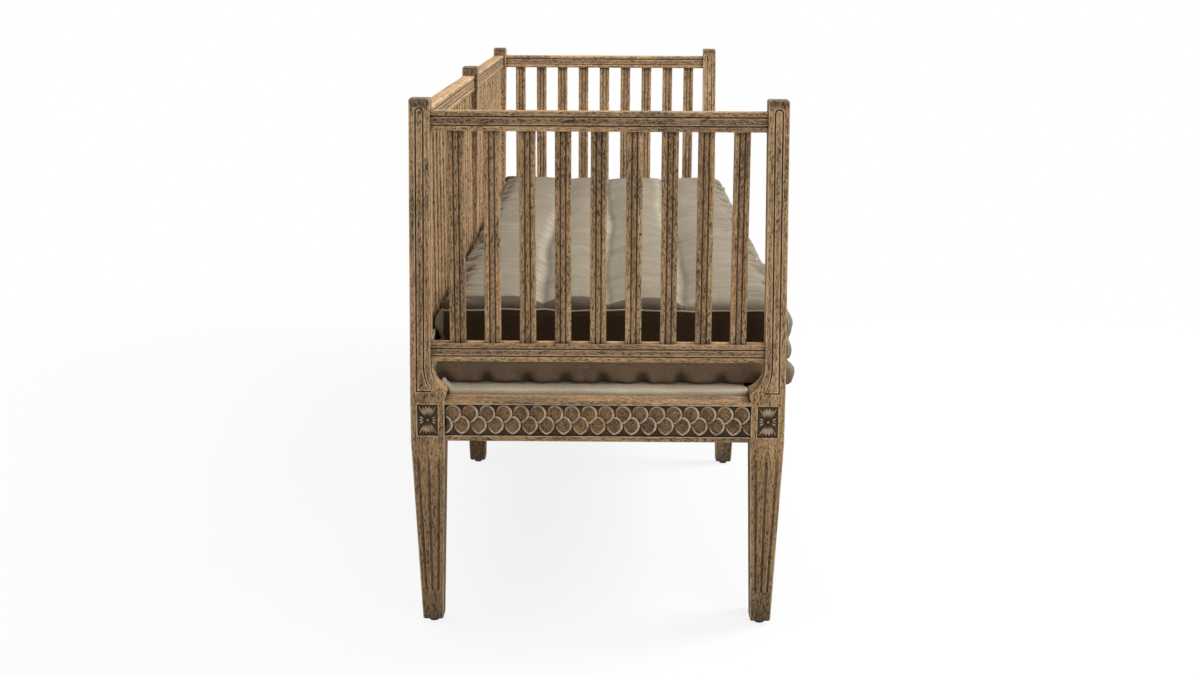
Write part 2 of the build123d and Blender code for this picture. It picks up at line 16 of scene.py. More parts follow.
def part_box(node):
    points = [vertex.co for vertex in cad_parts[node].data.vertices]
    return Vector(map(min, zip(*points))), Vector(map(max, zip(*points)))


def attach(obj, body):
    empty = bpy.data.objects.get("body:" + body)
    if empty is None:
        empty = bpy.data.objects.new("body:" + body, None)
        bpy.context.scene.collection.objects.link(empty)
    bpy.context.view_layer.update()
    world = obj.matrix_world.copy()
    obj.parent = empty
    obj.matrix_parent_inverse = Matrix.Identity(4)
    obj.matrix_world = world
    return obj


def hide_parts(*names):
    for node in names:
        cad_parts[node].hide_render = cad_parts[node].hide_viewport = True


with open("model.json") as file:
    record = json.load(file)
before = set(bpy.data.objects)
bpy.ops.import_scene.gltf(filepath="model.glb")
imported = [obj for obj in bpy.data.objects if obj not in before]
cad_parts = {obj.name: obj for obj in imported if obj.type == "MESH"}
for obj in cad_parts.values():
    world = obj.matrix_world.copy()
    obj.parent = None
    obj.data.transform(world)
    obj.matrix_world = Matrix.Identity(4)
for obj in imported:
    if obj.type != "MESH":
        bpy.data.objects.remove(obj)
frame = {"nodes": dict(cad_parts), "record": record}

log = logging.getLogger("bench")

Colour = tuple[float, float, float]
Point = tuple[float, float, float]
Span = tuple[float, float, float, float]  # a value's low and high, and what they turn into

MM = 0.001
EPS = 1e-5
TINY = 1e-9  # keeps a length of nothing from being divided by
WHITE = (1.0, 1.0, 1.0)
SOFT_ANGLE = 80.0  # degrees up to which cloth is shaded smooth
SQUARELY = 0.9  # least part of a face's normal that makes it one side of a piece
GROUND_GLAZE_AND_SHADE = 0.80  # dark glazing and painted shade on the sunk ground between carvings
WAVE_SPREAD = (0.7, 1.5)  # shortest and longest wave of a ripple, as shares of its size
BENCH, PULL_OUT = "bench", "pull_out"
SIDES = ("left", "right")


class Grain(Enum):
    """The way a piece's grain runs, as an axis number."""

    ALONG = 0
    ACROSS = 1
    UPRIGHT = 2

    def stretch(self, share: float) -> Point:
        """Scale of a pattern drawn out along the grain.

        Args:
            share: how much of the pattern's scale is left along the grain.

        Returns:
            The scale on each axis.
        """
        scale = [1.0, 1.0, 1.0]
        scale[self.value] = share
        return tuple(scale)


class Facing(Enum):
    """The way a carved face looks: its direction to the right as seen, and outwards."""

    LEFT = ((0.0, -1.0, 0.0), (-1.0, 0.0, 0.0))
    RIGHT = ((0.0, 1.0, 0.0), (1.0, 0.0, 0.0))
    FRONT = ((1.0, 0.0, 0.0), (0.0, -1.0, 0.0))

    def turned(self, at: Sequence[float]) -> Matrix:
        """Matrix that sets a flat carving upright on a face.

        Args:
            at: the point of the face that the carving's own origin comes to.

        Returns:
            The matrix for the carving's mesh.
        """
        right, out = (Vector(way) for way in self.value)
        turn = Matrix((right, Vector((0.0, 0.0, 1.0)), out)).transposed().to_4x4()
        return Matrix.Translation(Vector(at)) @ turn


# ---------------------------------------------------------------- bench tools
def pick(piece: bpy.types.Object) -> None:
    """Select one object alone and make it active."""
    bpy.ops.object.select_all(action="DESELECT")
    piece.select_set(True)
    bpy.context.view_layer.objects.active = piece


def named(name: str) -> bpy.types.Object:
    """Give the object just made its name and hand it over."""
    piece = bpy.context.view_layer.objects.active
    piece.name = name
    piece.data.name = name
    return piece


def edit(piece: bpy.types.Object) -> None:
    """Go into edit mode with nothing of the mesh selected."""
    pick(piece)
    bpy.ops.object.mode_set(mode="EDIT")
    bpy.ops.mesh.select_mode(type="VERT")
    bpy.ops.mesh.select_all(action="DESELECT")


def leave() -> None:
    """Go back to object mode."""
    bpy.ops.object.mode_set(mode="OBJECT")


def choose(piece: bpy.types.Object, kind: str, test: Callable) -> None:
    """Select the vertices, edges or faces of the edited mesh that pass a test.

    Args:
        piece: the object in edit mode.
        kind: VERT, EDGE or FACE.
        test: takes a bmesh vertex, edge or face and says whether it is wanted.
    """
    bpy.ops.mesh.select_all(action="DESELECT")
    bpy.ops.mesh.select_mode(type=kind)
    mesh = bmesh.from_edit_mesh(piece.data)
    for item in {"VERT": mesh.verts, "EDGE": mesh.edges, "FACE": mesh.faces}[kind]:
        item.select_set(bool(test(item)))
    mesh.select_flush_mode()
    bmesh.update_edit_mesh(piece.data)


def settle(piece: bpy.types.Object) -> bpy.types.Object:
    """Put an object's place into its mesh, so that the object itself sits at the origin."""
    pick(piece)
    bpy.ops.object.transform_apply(location=True, rotation=True, scale=True)
    return piece


def finished(piece: bpy.types.Object, kind: str, **settings) -> None:
    """Apply a modifier to a piece at once.

    Args:
        piece: the object to change.
        kind: the modifier's type.
        settings: the modifier's own values by name.
    """
    pick(piece)
    modifier = piece.modifiers.new(kind.title(), kind)
    for key, value in settings.items():
        setattr(modifier, key, value)
    bpy.ops.object.modifier_apply(modifier=modifier.name)


def block(name: str, low: Sequence[float], high: Sequence[float]) -> bpy.types.Object:
    """A squared block between two corners, as the blank of a piece."""
    low, high = Vector(low), Vector(high)
    bpy.ops.object.select_all(action="DESELECT")
    bpy.ops.mesh.primitive_cube_add(size=1.0, location=(low + high) / 2)
    piece = named(name)
    piece.scale = high - low
    return settle(piece)


def copied(piece: bpy.types.Object, name: str, place: Matrix) -> bpy.types.Object:
    """A copy of a piece with a mesh of its own, moved to its place."""
    copy = bpy.data.objects.new(name, piece.data.copy())
    copy.data.transform(place)
    bpy.context.scene.collection.objects.link(copy)
    return copy


def joined(name: str, pieces: Sequence[bpy.types.Object]) -> bpy.types.Object:
    """Join several pieces into one object."""
    bpy.ops.object.select_all(action="DESELECT")
    for piece in pieces:
        piece.select_set(True)
    bpy.context.view_layer.objects.active = pieces[0]
    if len(pieces) > 1:
        bpy.ops.object.join()
    return named(name)


def scrapped(piece: bpy.types.Object) -> None:
    """Throw away a pattern piece once its copies are made."""
    bpy.data.objects.remove(piece, do_unlink=True)


def smoothed(piece: bpy.types.Object, degrees: float) -> None:
    """Shade a piece smooth, apart from its sharp edges."""
    pick(piece)
    bpy.ops.object.shade_smooth_by_angle(angle=math.radians(degrees))


def corners(piece: bpy.types.Object) -> np.ndarray:
    """Places of a mesh's vertices, a row each."""
    flat = np.empty(len(piece.data.vertices) * 3)
    piece.data.vertices.foreach_get("co", flat)
    return flat.reshape(-1, 3)


def moved(piece: bpy.types.Object, places: np.ndarray) -> None:
    """Put a mesh's vertices at new places."""
    piece.data.vertices.foreach_set("co", np.ascontiguousarray(places).ravel())
    piece.data.update()


def outward(piece: bpy.types.Object) -> np.ndarray:
    """Outward normals at a mesh's vertices, a row each."""
    flat = np.empty(len(piece.data.vertices) * 3)
    piece.data.vertices.foreach_get("normal", flat)
    return flat.reshape(-1, 3)


def marked(piece: bpy.types.Object, name: str, values: np.ndarray) -> None:
    """Write a value from 0 to 1 on each vertex, for the finish to read."""
    layer = piece.data.attributes.new(name, "FLOAT", "POINT")
    layer.data.foreach_set("value", np.asarray(values, dtype=np.float32))


def rides(piece: bpy.types.Object, body: str, material: bpy.types.Material) -> None:
    """Give a new piece its body and its finish."""
    piece.data.materials.clear()
    piece.data.materials.append(material)
    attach(piece, body)
    log.info("%s: %d faces on %s", piece.name, len(piece.data.polygons), body)


# ---------------------------------------------------------------- finishes
@dataclass(frozen=True)
class Pattern:
    """Grey noise that a finish is made of."""

    scale: float
    detail: float
    rough: float = 0.5
    stretch: float = 1.0  # share of the scale that is left along the grain
    weight: float = 1.0  # share that the noise has in a sum of patterns


class Nodes:
    """A node tree, with short ways to add to it."""

    def __init__(self, tree: bpy.types.NodeTree) -> None:
        """Take up a tree."""
        self.tree = tree

    def feed(self, socket: bpy.types.NodeSocket, value: object) -> None:
        """Link a socket to another one, or set it to a constant."""
        if isinstance(value, bpy.types.NodeSocket):
            self.tree.links.new(value, socket)
        elif isinstance(value, tuple) and socket.type == "RGBA":
            socket.default_value = (*value, 1.0)
        else:
            socket.default_value = value

    def add(self, kind: str, settings: dict | None = None, **inputs) -> bpy.types.Node:
        """Add a node.

        Args:
            kind: the node's type, without the ShaderNode that all begin with.
            settings: the node's own choices by name.
            inputs: sockets by name, with an underscore for a space.

        Returns:
            The new node.
        """
        node = self.tree.nodes.new("ShaderNode" + kind)
        for key, value in (settings or {}).items():
            setattr(node, key, value)
        for key, value in inputs.items():
            self.feed(node.inputs[key.replace("_", " ")], value)
        return node

    def place(self) -> object:
        """Coordinates in the piece's own space."""
        return self.add("TexCoord").outputs["Object"]

    def sums(self, operation: str, first: object, second: object) -> object:
        """One step of arithmetic on two values."""
        node = self.add("Math", {"operation": operation})
        self.feed(node.inputs[0], first)
        self.feed(node.inputs[1], second)
        return node.outputs[0]

    def span(self, value: object, low: float, high: float, start: float = 0.0, end: float = 1.0) -> object:
        """Spread a value's range from low to high over start to end, and hold it there."""
        node = self.add("MapRange", Value=value, From_Min=low, From_Max=high, To_Min=start, To_Max=end)
        return node.outputs["Result"]

    def layered(self, share: object, first: object, second: object) -> object:
        """Mix two shaders."""
        node = self.add("MixShader", Fac=share)
        self.feed(node.inputs[1], first)
        self.feed(node.inputs[2], second)
        return node.outputs[0]


class Recipe(Nodes):
    """A material's nodes, with the steps that the finishes share."""

    samples = 6

    def __init__(self, name: str) -> None:
        """Start a material that holds only its shader."""
        self.material = bpy.data.materials.new(name)
        self.material.use_nodes = True
        super().__init__(self.material.node_tree)
        self.shader = self.tree.nodes["Principled BSDF"]

    def level(self, place: object) -> object:
        """Height of a place above the floor."""
        return self.add("SeparateXYZ", Vector=place).outputs["Z"]

    def mark(self, name: str) -> object:
        """A value that is written on the piece's own vertices."""
        return self.add("Attribute", {"attribute_name": name}).outputs["Fac"]

    def noise(self, place: object, pattern: Pattern, grain: Grain | None = None) -> object:
        """A pattern of noise, drawn out along a grain if one is given."""
        if grain is not None:
            place = self.add("Mapping", Vector=place, Scale=grain.stretch(pattern.stretch)).outputs["Vector"]
        return self.add(
            "TexNoise", Vector=place, Scale=pattern.scale, Detail=pattern.detail, Roughness=pattern.rough
        ).outputs[0]

    def weighed(self, *parts: tuple[object, Pattern]) -> object:
        """Sum of patterns, each times its weight."""
        values = [self.sums("MULTIPLY", value, pattern.weight) for value, pattern in parts]
        total = values[0]
        for value in values[1:]:
            total = self.sums("ADD", total, value)
        return total

    def blend(self, share: object, first: object, second: object) -> object:
        """Mix two colours."""
        node = self.add("Mix", {"data_type": "RGBA"})
        colour_inputs = [socket for socket in node.inputs if socket.type == "RGBA"]
        self.feed(node.inputs[0], share)
        for socket, colour in zip(colour_inputs, (first, second)):
            self.feed(socket, colour)
        return next(socket for socket in node.outputs if socket.type == "RGBA")

    def shades(self, value: object, places: Sequence[float], colours: Sequence[Colour]) -> object:
        """Turn a value into colours, each at its own place of the value's range."""
        node = self.add("ValToRGB", Fac=value)
        ramp = node.color_ramp
        while len(ramp.elements) < len(places):
            ramp.elements.new(0.5)
        for element, place, colour in zip(ramp.elements, places, colours):
            element.position = place
            element.color = (*colour, 1.0)
        return node.outputs["Color"]

    def hollow(self, reach: float, inside: bool) -> object:
        """Openness of a surface: low in grooves, or with inside, low at outer edges."""
        settings = {"samples": self.samples, "inside": inside, "only_local": inside}
        return self.add("AmbientOcclusion", settings, Distance=reach).outputs["AO"]

    def finish(self, colour: object, rough: object, height: object, relief: tuple[float, float]) -> None:
        """Feed the shader its colour, roughness and relief.

        Args:
            colour: the base colour.
            rough: the roughness.
            height: the relief's height, about 0 to 1.
            relief: how strongly the relief shows, and how deep it is in metres.
        """
        strength, depth = relief
        bump = self.add("Bump", Height=height, Strength=strength, Distance=depth)
        self.feed(self.shader.inputs["Base Color"], colour)
        self.feed(self.shader.inputs["Roughness"], rough)
        self.feed(self.shader.inputs["Normal"], bump.outputs["Normal"])


@dataclass(frozen=True)
class WoodFinish:
    """Wire-brushed pine with dark glazing and painted shade in its grooves and where parts meet, rubbed off
    its edges.
    """

    name: str
    grain: Grain
    pore: Colour = (0.034, 0.019, 0.010)
    brown: Colour = (0.190, 0.100, 0.042)
    tan: Colour = (0.395, 0.232, 0.110)
    honey: Colour = (0.535, 0.340, 0.172)
    straw: Colour = (0.680, 0.475, 0.265)
    grey: Colour = (0.185, 0.132, 0.082)
    # the dark colour of the glazing and of the painted shade in grooves, between parts and on the sunk ground
    glaze_and_shade_colour: Colour = (0.016, 0.009, 0.005)
    rub: Colour = (0.900, 0.690, 0.450)
    wander: Pattern = Pattern(6.0, 2.0)
    wander_far: float = 8.0 * MM
    broad: Pattern = Pattern(52.0, 2.0, 0.5, 0.05, 0.24)
    fibre: Pattern = Pattern(430.0, 3.0, 0.7, 0.06, 0.34)
    mottle: Pattern = Pattern(300.0, 3.0, 0.65, 0.30, 0.42)
    shade_places: tuple[float, ...] = (0.385, 0.465, 0.535, 0.625)  # brown, tan, honey, straw
    leg_shade: Span = (0.250, 0.345, 0.30, 0.0)  # browner towards the floor
    greyed: Pattern = Pattern(17.0, 4.0, 0.65, 0.25)
    grey_patches: Span = (0.50, 0.68, 0.0, 0.55)
    soiled_feet: Span = (0.010, 0.070, 0.90, 0.0)
    soiled_tops: Span = (0.894, 0.906, 0.0, 0.75)
    moulded_dirt: float = 0.24
    band: tuple[float, float] | None = None  # heights of a dirtier band
    band_blur: float = 0.5 * MM
    band_dirt: float = 0.45
    pits: tuple[Pattern, ...] = (Pattern(430.0, 2.0, 0.55, 0.26), Pattern(820.0, 2.0, 0.55, 0.20))
    clusters: Pattern = Pattern(34.0, 2.0, 0.5, 0.25)
    fewer_pits: Span = (0.40, 0.62, 0.045, 0.0)
    grey_pits: float = 0.05  # how many more pits there are where the wood is grey
    pit_edge: Span = (0.550, 0.606, 0.0, 0.92)
    pit_relief: float = 0.30
    edge_reach: float = 3.6 * MM  # 0 leaves the edges unrubbed
    rubbed_edge: Span = (0.50, 0.86, 1.0, 0.0)
    rubs: Pattern = Pattern(120.0, 3.0, 0.5, 0.25)
    rub_patches: tuple[float, float, float] = (0.34, 0.58, 0.25)  # low, high and the least share
    rub_share: float = 0.90
    groove_reach: float = 11.0 * MM
    flutes: Span = (0.305, 0.325, 0.11, 0.0)  # more glazing and painted shade on the legs, showing most in their shallow flutes
    # how much glazing and painted shade the grooves and the sunk ground take
    sunk: tuple[float, float] = (0.42, 0.92)
    glaze_and_shade_share: float = 0.97
    ground_glaze_and_shade: float = 0.94
    roughness: Span = (0.3, 0.7, 0.62, 0.86)
    gloss: float = 0.25
    relief: tuple[float, float] = (0.6, 1.2 * MM)

    def build(self) -> bpy.types.Material:
        """Make the material."""
        recipe = Recipe(self.name)
        place = recipe.place()
        level = recipe.level(place)
        wavy = self.wandering(recipe, place)
        patterns = (self.broad, self.fibre, self.mottle)
        broad, fibre, mottle = (recipe.noise(wavy, pattern, self.grain) for pattern in patterns)
        figure = recipe.weighed(*zip((broad, fibre, mottle), patterns))
        colour = recipe.shades(figure, self.shade_places, (self.brown, self.tan, self.honey, self.straw))
        colour = recipe.blend(recipe.span(level, *self.leg_shade), colour, self.brown)
        greyed = recipe.span(recipe.noise(wavy, self.greyed, self.grain), *self.grey_patches)
        greyed = recipe.sums("MAXIMUM", greyed, self.soiled(recipe, level))
        colour = recipe.blend(greyed, colour, self.grey)
        pitted = self.pitted(recipe, wavy, greyed)
        colour = recipe.blend(pitted, colour, self.pore)
        colour = recipe.blend(self.rubbed(recipe, wavy), colour, self.rub)
        # painted shade: grooves, gaps between parts, the legs' flutes and the sunk ground turn dark
        colour = recipe.blend(self.glazed_and_shaded(recipe, level), colour, self.glaze_and_shade_colour)
        height = recipe.sums("SUBTRACT", figure, recipe.sums("MULTIPLY", pitted, self.pit_relief))
        recipe.feed(recipe.shader.inputs["Specular IOR Level"], self.gloss)
        recipe.finish(colour, recipe.span(mottle, *self.roughness), height, self.relief)
        return recipe.material

    def wandering(self, recipe: Recipe, place: object) -> object:
        """Coordinates shifted here and there, so that the grain doesn't run dead straight."""
        wander = recipe.add("TexNoise", Vector=place, Scale=self.wander.scale, Detail=self.wander.detail)
        shift = recipe.add("VectorMath", {"operation": "MULTIPLY_ADD"})
        for socket, value in zip(shift.inputs, (wander.outputs["Color"], (self.wander_far,) * 3, place)):
            recipe.feed(socket, value)
        return shift.outputs["Vector"]

    def soiled(self, recipe: Recipe, level: object) -> object:
        """Share of grey-brown dirt: on moulded middle bands, the feet and the posts' tops."""
        dirt = recipe.span(level, *self.soiled_feet)
        if self.grain is Grain.UPRIGHT:
            dirt = recipe.sums("MAXIMUM", dirt, recipe.span(level, *self.soiled_tops))
        moulded = recipe.sums("MULTIPLY", recipe.mark("band"), self.moulded_dirt)
        dirt = recipe.sums("MAXIMUM", dirt, moulded)
        if self.band:
            low, high = self.band
            above = recipe.span(level, low - self.band_blur, low + self.band_blur)
            below = recipe.span(level, high - self.band_blur, high + self.band_blur, 1.0, 0.0)
            band = recipe.sums("MULTIPLY", recipe.sums("MULTIPLY", above, below), self.band_dirt)
            dirt = recipe.sums("MAXIMUM", dirt, band)
        return dirt

    def pitted(self, recipe: Recipe, wavy: object, greyed: object) -> object:
        """Share of small dark pits, which come in clusters and more of them where the wood is grey."""
        fewer = recipe.span(recipe.noise(wavy, self.clusters, self.grain), *self.fewer_pits)
        pitted = 0.0
        for pits in self.pits:
            specks = recipe.sums("SUBTRACT", recipe.noise(wavy, pits, self.grain), fewer)
            specks = recipe.sums("ADD", specks, recipe.sums("MULTIPLY", greyed, self.grey_pits))
            pitted = recipe.sums("MAXIMUM", pitted, recipe.span(specks, *self.pit_edge))
        return pitted

    def rubbed(self, recipe: Recipe, wavy: object) -> object:
        """Share of pale rubbed wood: on outer edges and where a piece is marked as worn."""
        bare = recipe.mark("worn")
        if self.edge_reach:
            edges = recipe.span(recipe.hollow(self.edge_reach, True), *self.rubbed_edge)
            bare = recipe.sums("MAXIMUM", bare, edges)
        rubs = recipe.noise(wavy, self.rubs, self.grain)
        return recipe.sums("MULTIPLY", bare, recipe.span(rubs, *self.rub_patches, self.rub_share))

    def glazed_and_shaded(self, recipe: Recipe, level: object) -> object:
        """Share of dark glazing and painted shade: in grooves and where parts meet, in the legs' flutes and
        on marked ground.
        """
        open_sky = recipe.hollow(self.groove_reach, False)
        open_sky = recipe.sums("SUBTRACT", open_sky, recipe.span(level, *self.flutes))
        sunk = recipe.span(open_sky, *self.sunk, self.glaze_and_shade_share, 0.0)
        ground = recipe.sums("MULTIPLY", recipe.mark("ground"), self.ground_glaze_and_shade)
        return recipe.sums("MAXIMUM", sunk, ground)


@dataclass(frozen=True)
class LinenFinish:
    """Washed linen of uneven yarn, with painted shade in its folds and tucks."""

    name: str
    cloth: Colour = (0.188, 0.157, 0.113)
    slub: Colour = (0.270, 0.233, 0.174)
    shade: Colour = (0.070, 0.050, 0.033)
    # painted highlight on the lit ridge behind each valley
    painted_ridge_light: Colour = (0.520, 0.470, 0.370)
    yarn: Pattern = Pattern(640.0, 2.0, 0.6, 0.045, 0.75)
    cloud: Pattern = Pattern(9.0, 4.0, 0.55, 1.0, 0.25)
    slubs: tuple[float, float] = (0.42, 0.60)
    # fold_reach and folds set the painted shade in the cloth's hollows
    fold_reach: float = 15.0 * MM
    folds: Span = (0.30, 0.94, 0.70, 0.0)
    sheen: float = 0.04
    sheen_rough: float = 0.5
    gloss: float = 0.12
    rough: float = 0.92
    relief: tuple[float, float] = (0.35, 0.9 * MM)

    def build(self) -> bpy.types.Material:
        """Make the material."""
        recipe = Recipe(self.name)
        place = recipe.place()
        yarns = [recipe.noise(place, self.yarn, way) for way in Grain]
        weave = recipe.sums("ADD", recipe.sums("ADD", yarns[0], yarns[1]), yarns[2])
        weave = recipe.sums("DIVIDE", weave, float(len(yarns)))
        tone = recipe.weighed((weave, self.yarn), (recipe.noise(place, self.cloud), self.cloud))
        colour = recipe.blend(recipe.span(tone, *self.slubs), self.cloth, self.slub)
        # painted shade: the cloth darkens in its hollows and folds, and where the mattress marks a tuck
        folded = recipe.span(recipe.hollow(self.fold_reach, False), *self.folds)
        folded = recipe.sums("MAXIMUM", folded, recipe.mark("tuck"))
        # painted highlight on the ridge behind each valley
        colour = recipe.blend(recipe.mark("ridge"), colour, self.painted_ridge_light)
        colour = recipe.blend(folded, colour, self.shade)
        colour = self.with_end_shade(recipe, place, colour, tone)
        recipe.feed(recipe.shader.inputs["Sheen Weight"], self.sheen)
        recipe.feed(recipe.shader.inputs["Sheen Roughness"], self.sheen_rough)
        recipe.feed(recipe.shader.inputs["Specular IOR Level"], self.gloss)
        recipe.finish(colour, self.rough, weave, self.relief)
        return recipe.material

    def with_end_shade(self, recipe: Recipe, place: object, colour: object, tone: object) -> object:
        """The colour with any painted shade on the ends: plain linen has none."""
        return colour


@dataclass(frozen=True)
class EndShadedLinen(LinenFinish):
    """The mattress's linen, with painted shade on both ends: dark on the border and the top roll, browner on
    the lower roll.
    """

    # painted shade: roll, border and lower are the shade colours of the top roll, the end border and the
    # lower roll
    roll: Colour = (0.088, 0.068, 0.048)
    border: Colour = (0.044, 0.027, 0.015)
    lower: Colour = (0.205, 0.150, 0.102)
    lower_seam: float = 453.0 * MM
    lower_blur: float = 2.0 * MM
    upper_seam: float = 540.0 * MM
    upper_blur: float = 1.0 * MM
    end_edge: tuple[float, float] = (0.35, 0.65)
    dust: Span = (0.40, 0.62, 0.75, 1.35)
    tuck_shade: Span = (0.0, 1.0, 1.0, 0.25)

    def with_end_shade(self, recipe: Recipe, place: object, colour: object, tone: object) -> object:
        """The colour with painted shade on the ends: on the lower roll, the border and the top roll."""
        height = recipe.level(place)
        share = recipe.span(recipe.mark("end"), *self.end_edge)
        over_lower = recipe.span(height, self.lower_seam - self.lower_blur, self.lower_seam + self.lower_blur)
        over_upper = recipe.span(height, self.upper_seam - self.upper_blur, self.upper_seam + self.upper_blur)
        # painted shade on the end faces, scaled by the cloth's tone and darker in its tucks
        cloth = recipe.blend(over_lower, self.lower, self.border)
        cloth = recipe.blend(over_upper, cloth, self.roll)
        tucked = recipe.span(recipe.mark("tuck"), *self.tuck_shade)
        tone_and_shade = recipe.sums("MULTIPLY", recipe.span(tone, *self.dust), tucked)
        scaled = recipe.add("VectorMath", {"operation": "SCALE"}, Vector=cloth, Scale=tone_and_shade).outputs[0]
        return recipe.blend(share, colour, scaled)


@dataclass(frozen=True)
class PlainFinish:
    """A dark moulded finish with faint scuffs."""

    name: str
    base: Colour
    scuff: Colour
    rough: float
    rougher: float = 0.15  # how much rougher the scuffs are
    marks: Pattern = Pattern(260.0, 4.0, 0.6)
    scuffed: tuple[float, float] = (0.45, 0.70)
    dulled: tuple[float, float] = (0.30, 0.70)
    relief: tuple[float, float] = (0.2, 0.4 * MM)

    def build(self) -> bpy.types.Material:
        """Make the material."""
        recipe = Recipe(self.name)
        marks = recipe.noise(recipe.place(), self.marks)
        colour = recipe.blend(recipe.span(marks, *self.scuffed), self.base, self.scuff)
        rough = recipe.span(marks, *self.dulled, self.rough, self.rough + self.rougher)
        recipe.finish(colour, rough, marks, self.relief)
        return recipe.material


class Finishes:
    """All the finishes of the bench, made once."""

    def __init__(self) -> None:
        """Make the materials."""
        self.wood = {grain: WoodFinish(f"driftwood_{grain.name.lower()}", grain).build() for grain in Grain}
        # the plain pine takes less glazing and painted shade
        self.pine = {
            grain: WoodFinish(
                f"plain_pine_{grain.name.lower()}", grain, brown=(0.22, 0.13, 0.065), tan=(0.38, 0.25, 0.135),
                honey=(0.47, 0.32, 0.18), grey=(0.26, 0.20, 0.13), glaze_and_shade_share=0.6, rub_share=0.3,
            ).build()
            for grain in Grain
        }
        # the carvings take full glazing and painted shade in their hollows
        self.carving = WoodFinish(
            "carved_driftwood", Grain.ALONG, tan=(0.26, 0.150, 0.072), honey=(0.36, 0.215, 0.105),
            straw=(0.44, 0.28, 0.15), rub=(0.70, 0.555, 0.40), rub_share=1.0, edge_reach=0.0,
            groove_reach=10.0 * MM, glaze_and_shade_share=1.0,
        ).build()
        self.glide = PlainFinish("black_glide", (0.016, 0.015, 0.014), (0.06, 0.055, 0.05), 0.45).build()
        self.linen = EndShadedLinen("mattress_linen").build()
        self.pad = LinenFinish(
            "pad_linen", cloth=(0.430, 0.362, 0.266), slub=(0.624, 0.542, 0.414), shade=(0.21, 0.158, 0.100),
            fold_reach=5.0 * MM,
        ).build()
        self.piping = LinenFinish(
            "piping_linen", cloth=(0.330, 0.275, 0.195), slub=(0.480, 0.410, 0.310), shade=(0.20, 0.15, 0.10),
            fold_reach=4.0 * MM,
        ).build()

    def railed(self, name: str, grain: Grain, low: float, high: float) -> bpy.types.Material:
        """A wood finish with a dirtier band between two heights."""
        return WoodFinish(name, grain, band=(low, high)).build()


# ---------------------------------------------------------------- frame of the bench
@dataclass
class Joinery:
    """The posts, rails, aprons and deck, which keep the shapes of the frame and get their finish."""

    finishes: Finishes
    rail_bead: float = 10.6 * MM  # width of a rail's bead and of the quirk beside it

    def grain(self, node: str) -> Grain:
        """The way a node's grain runs.

        Args:
            node: the node's name.

        Returns:
            Upright on posts and legs, along the piece on the rest.
        """
        if "post" in node or "leg" in node:
            return Grain.UPRIGHT
        low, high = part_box(node)
        if "deck_slats" in node or (high - low).y > (high - low).x:
            return Grain.ACROSS
        return Grain.ALONG

    def dress(self) -> None:
        """Give every node that stays its finish."""
        slots = {entry["node"]: entry["material_slot"] for entry in frame["record"]["subparts"]}
        railed = {}
        for node, piece in frame["nodes"].items():
            grain = self.grain(node)
            level = next((level for level in ("top_rail", "low_rail") if node.endswith(level)), None)
            if slots[node] == "glide":
                material = self.finishes.glide
            elif slots[node] == "plain_pine":
                material = self.finishes.pine[grain]
            elif level:
                key = f"driftwood_{level}_{grain.name.lower()}"
                if key not in railed:
                    low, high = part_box(node)
                    bottom, top = low.z + self.rail_bead, high.z - self.rail_bead
                    railed[key] = self.finishes.railed(key, grain, bottom, top)
                material = railed[key]
            else:
                material = self.finishes.wood[grain]
            piece.data.materials.clear()
            piece.data.materials.append(material)
        log.info("dressed %d nodes", len(frame["nodes"]))


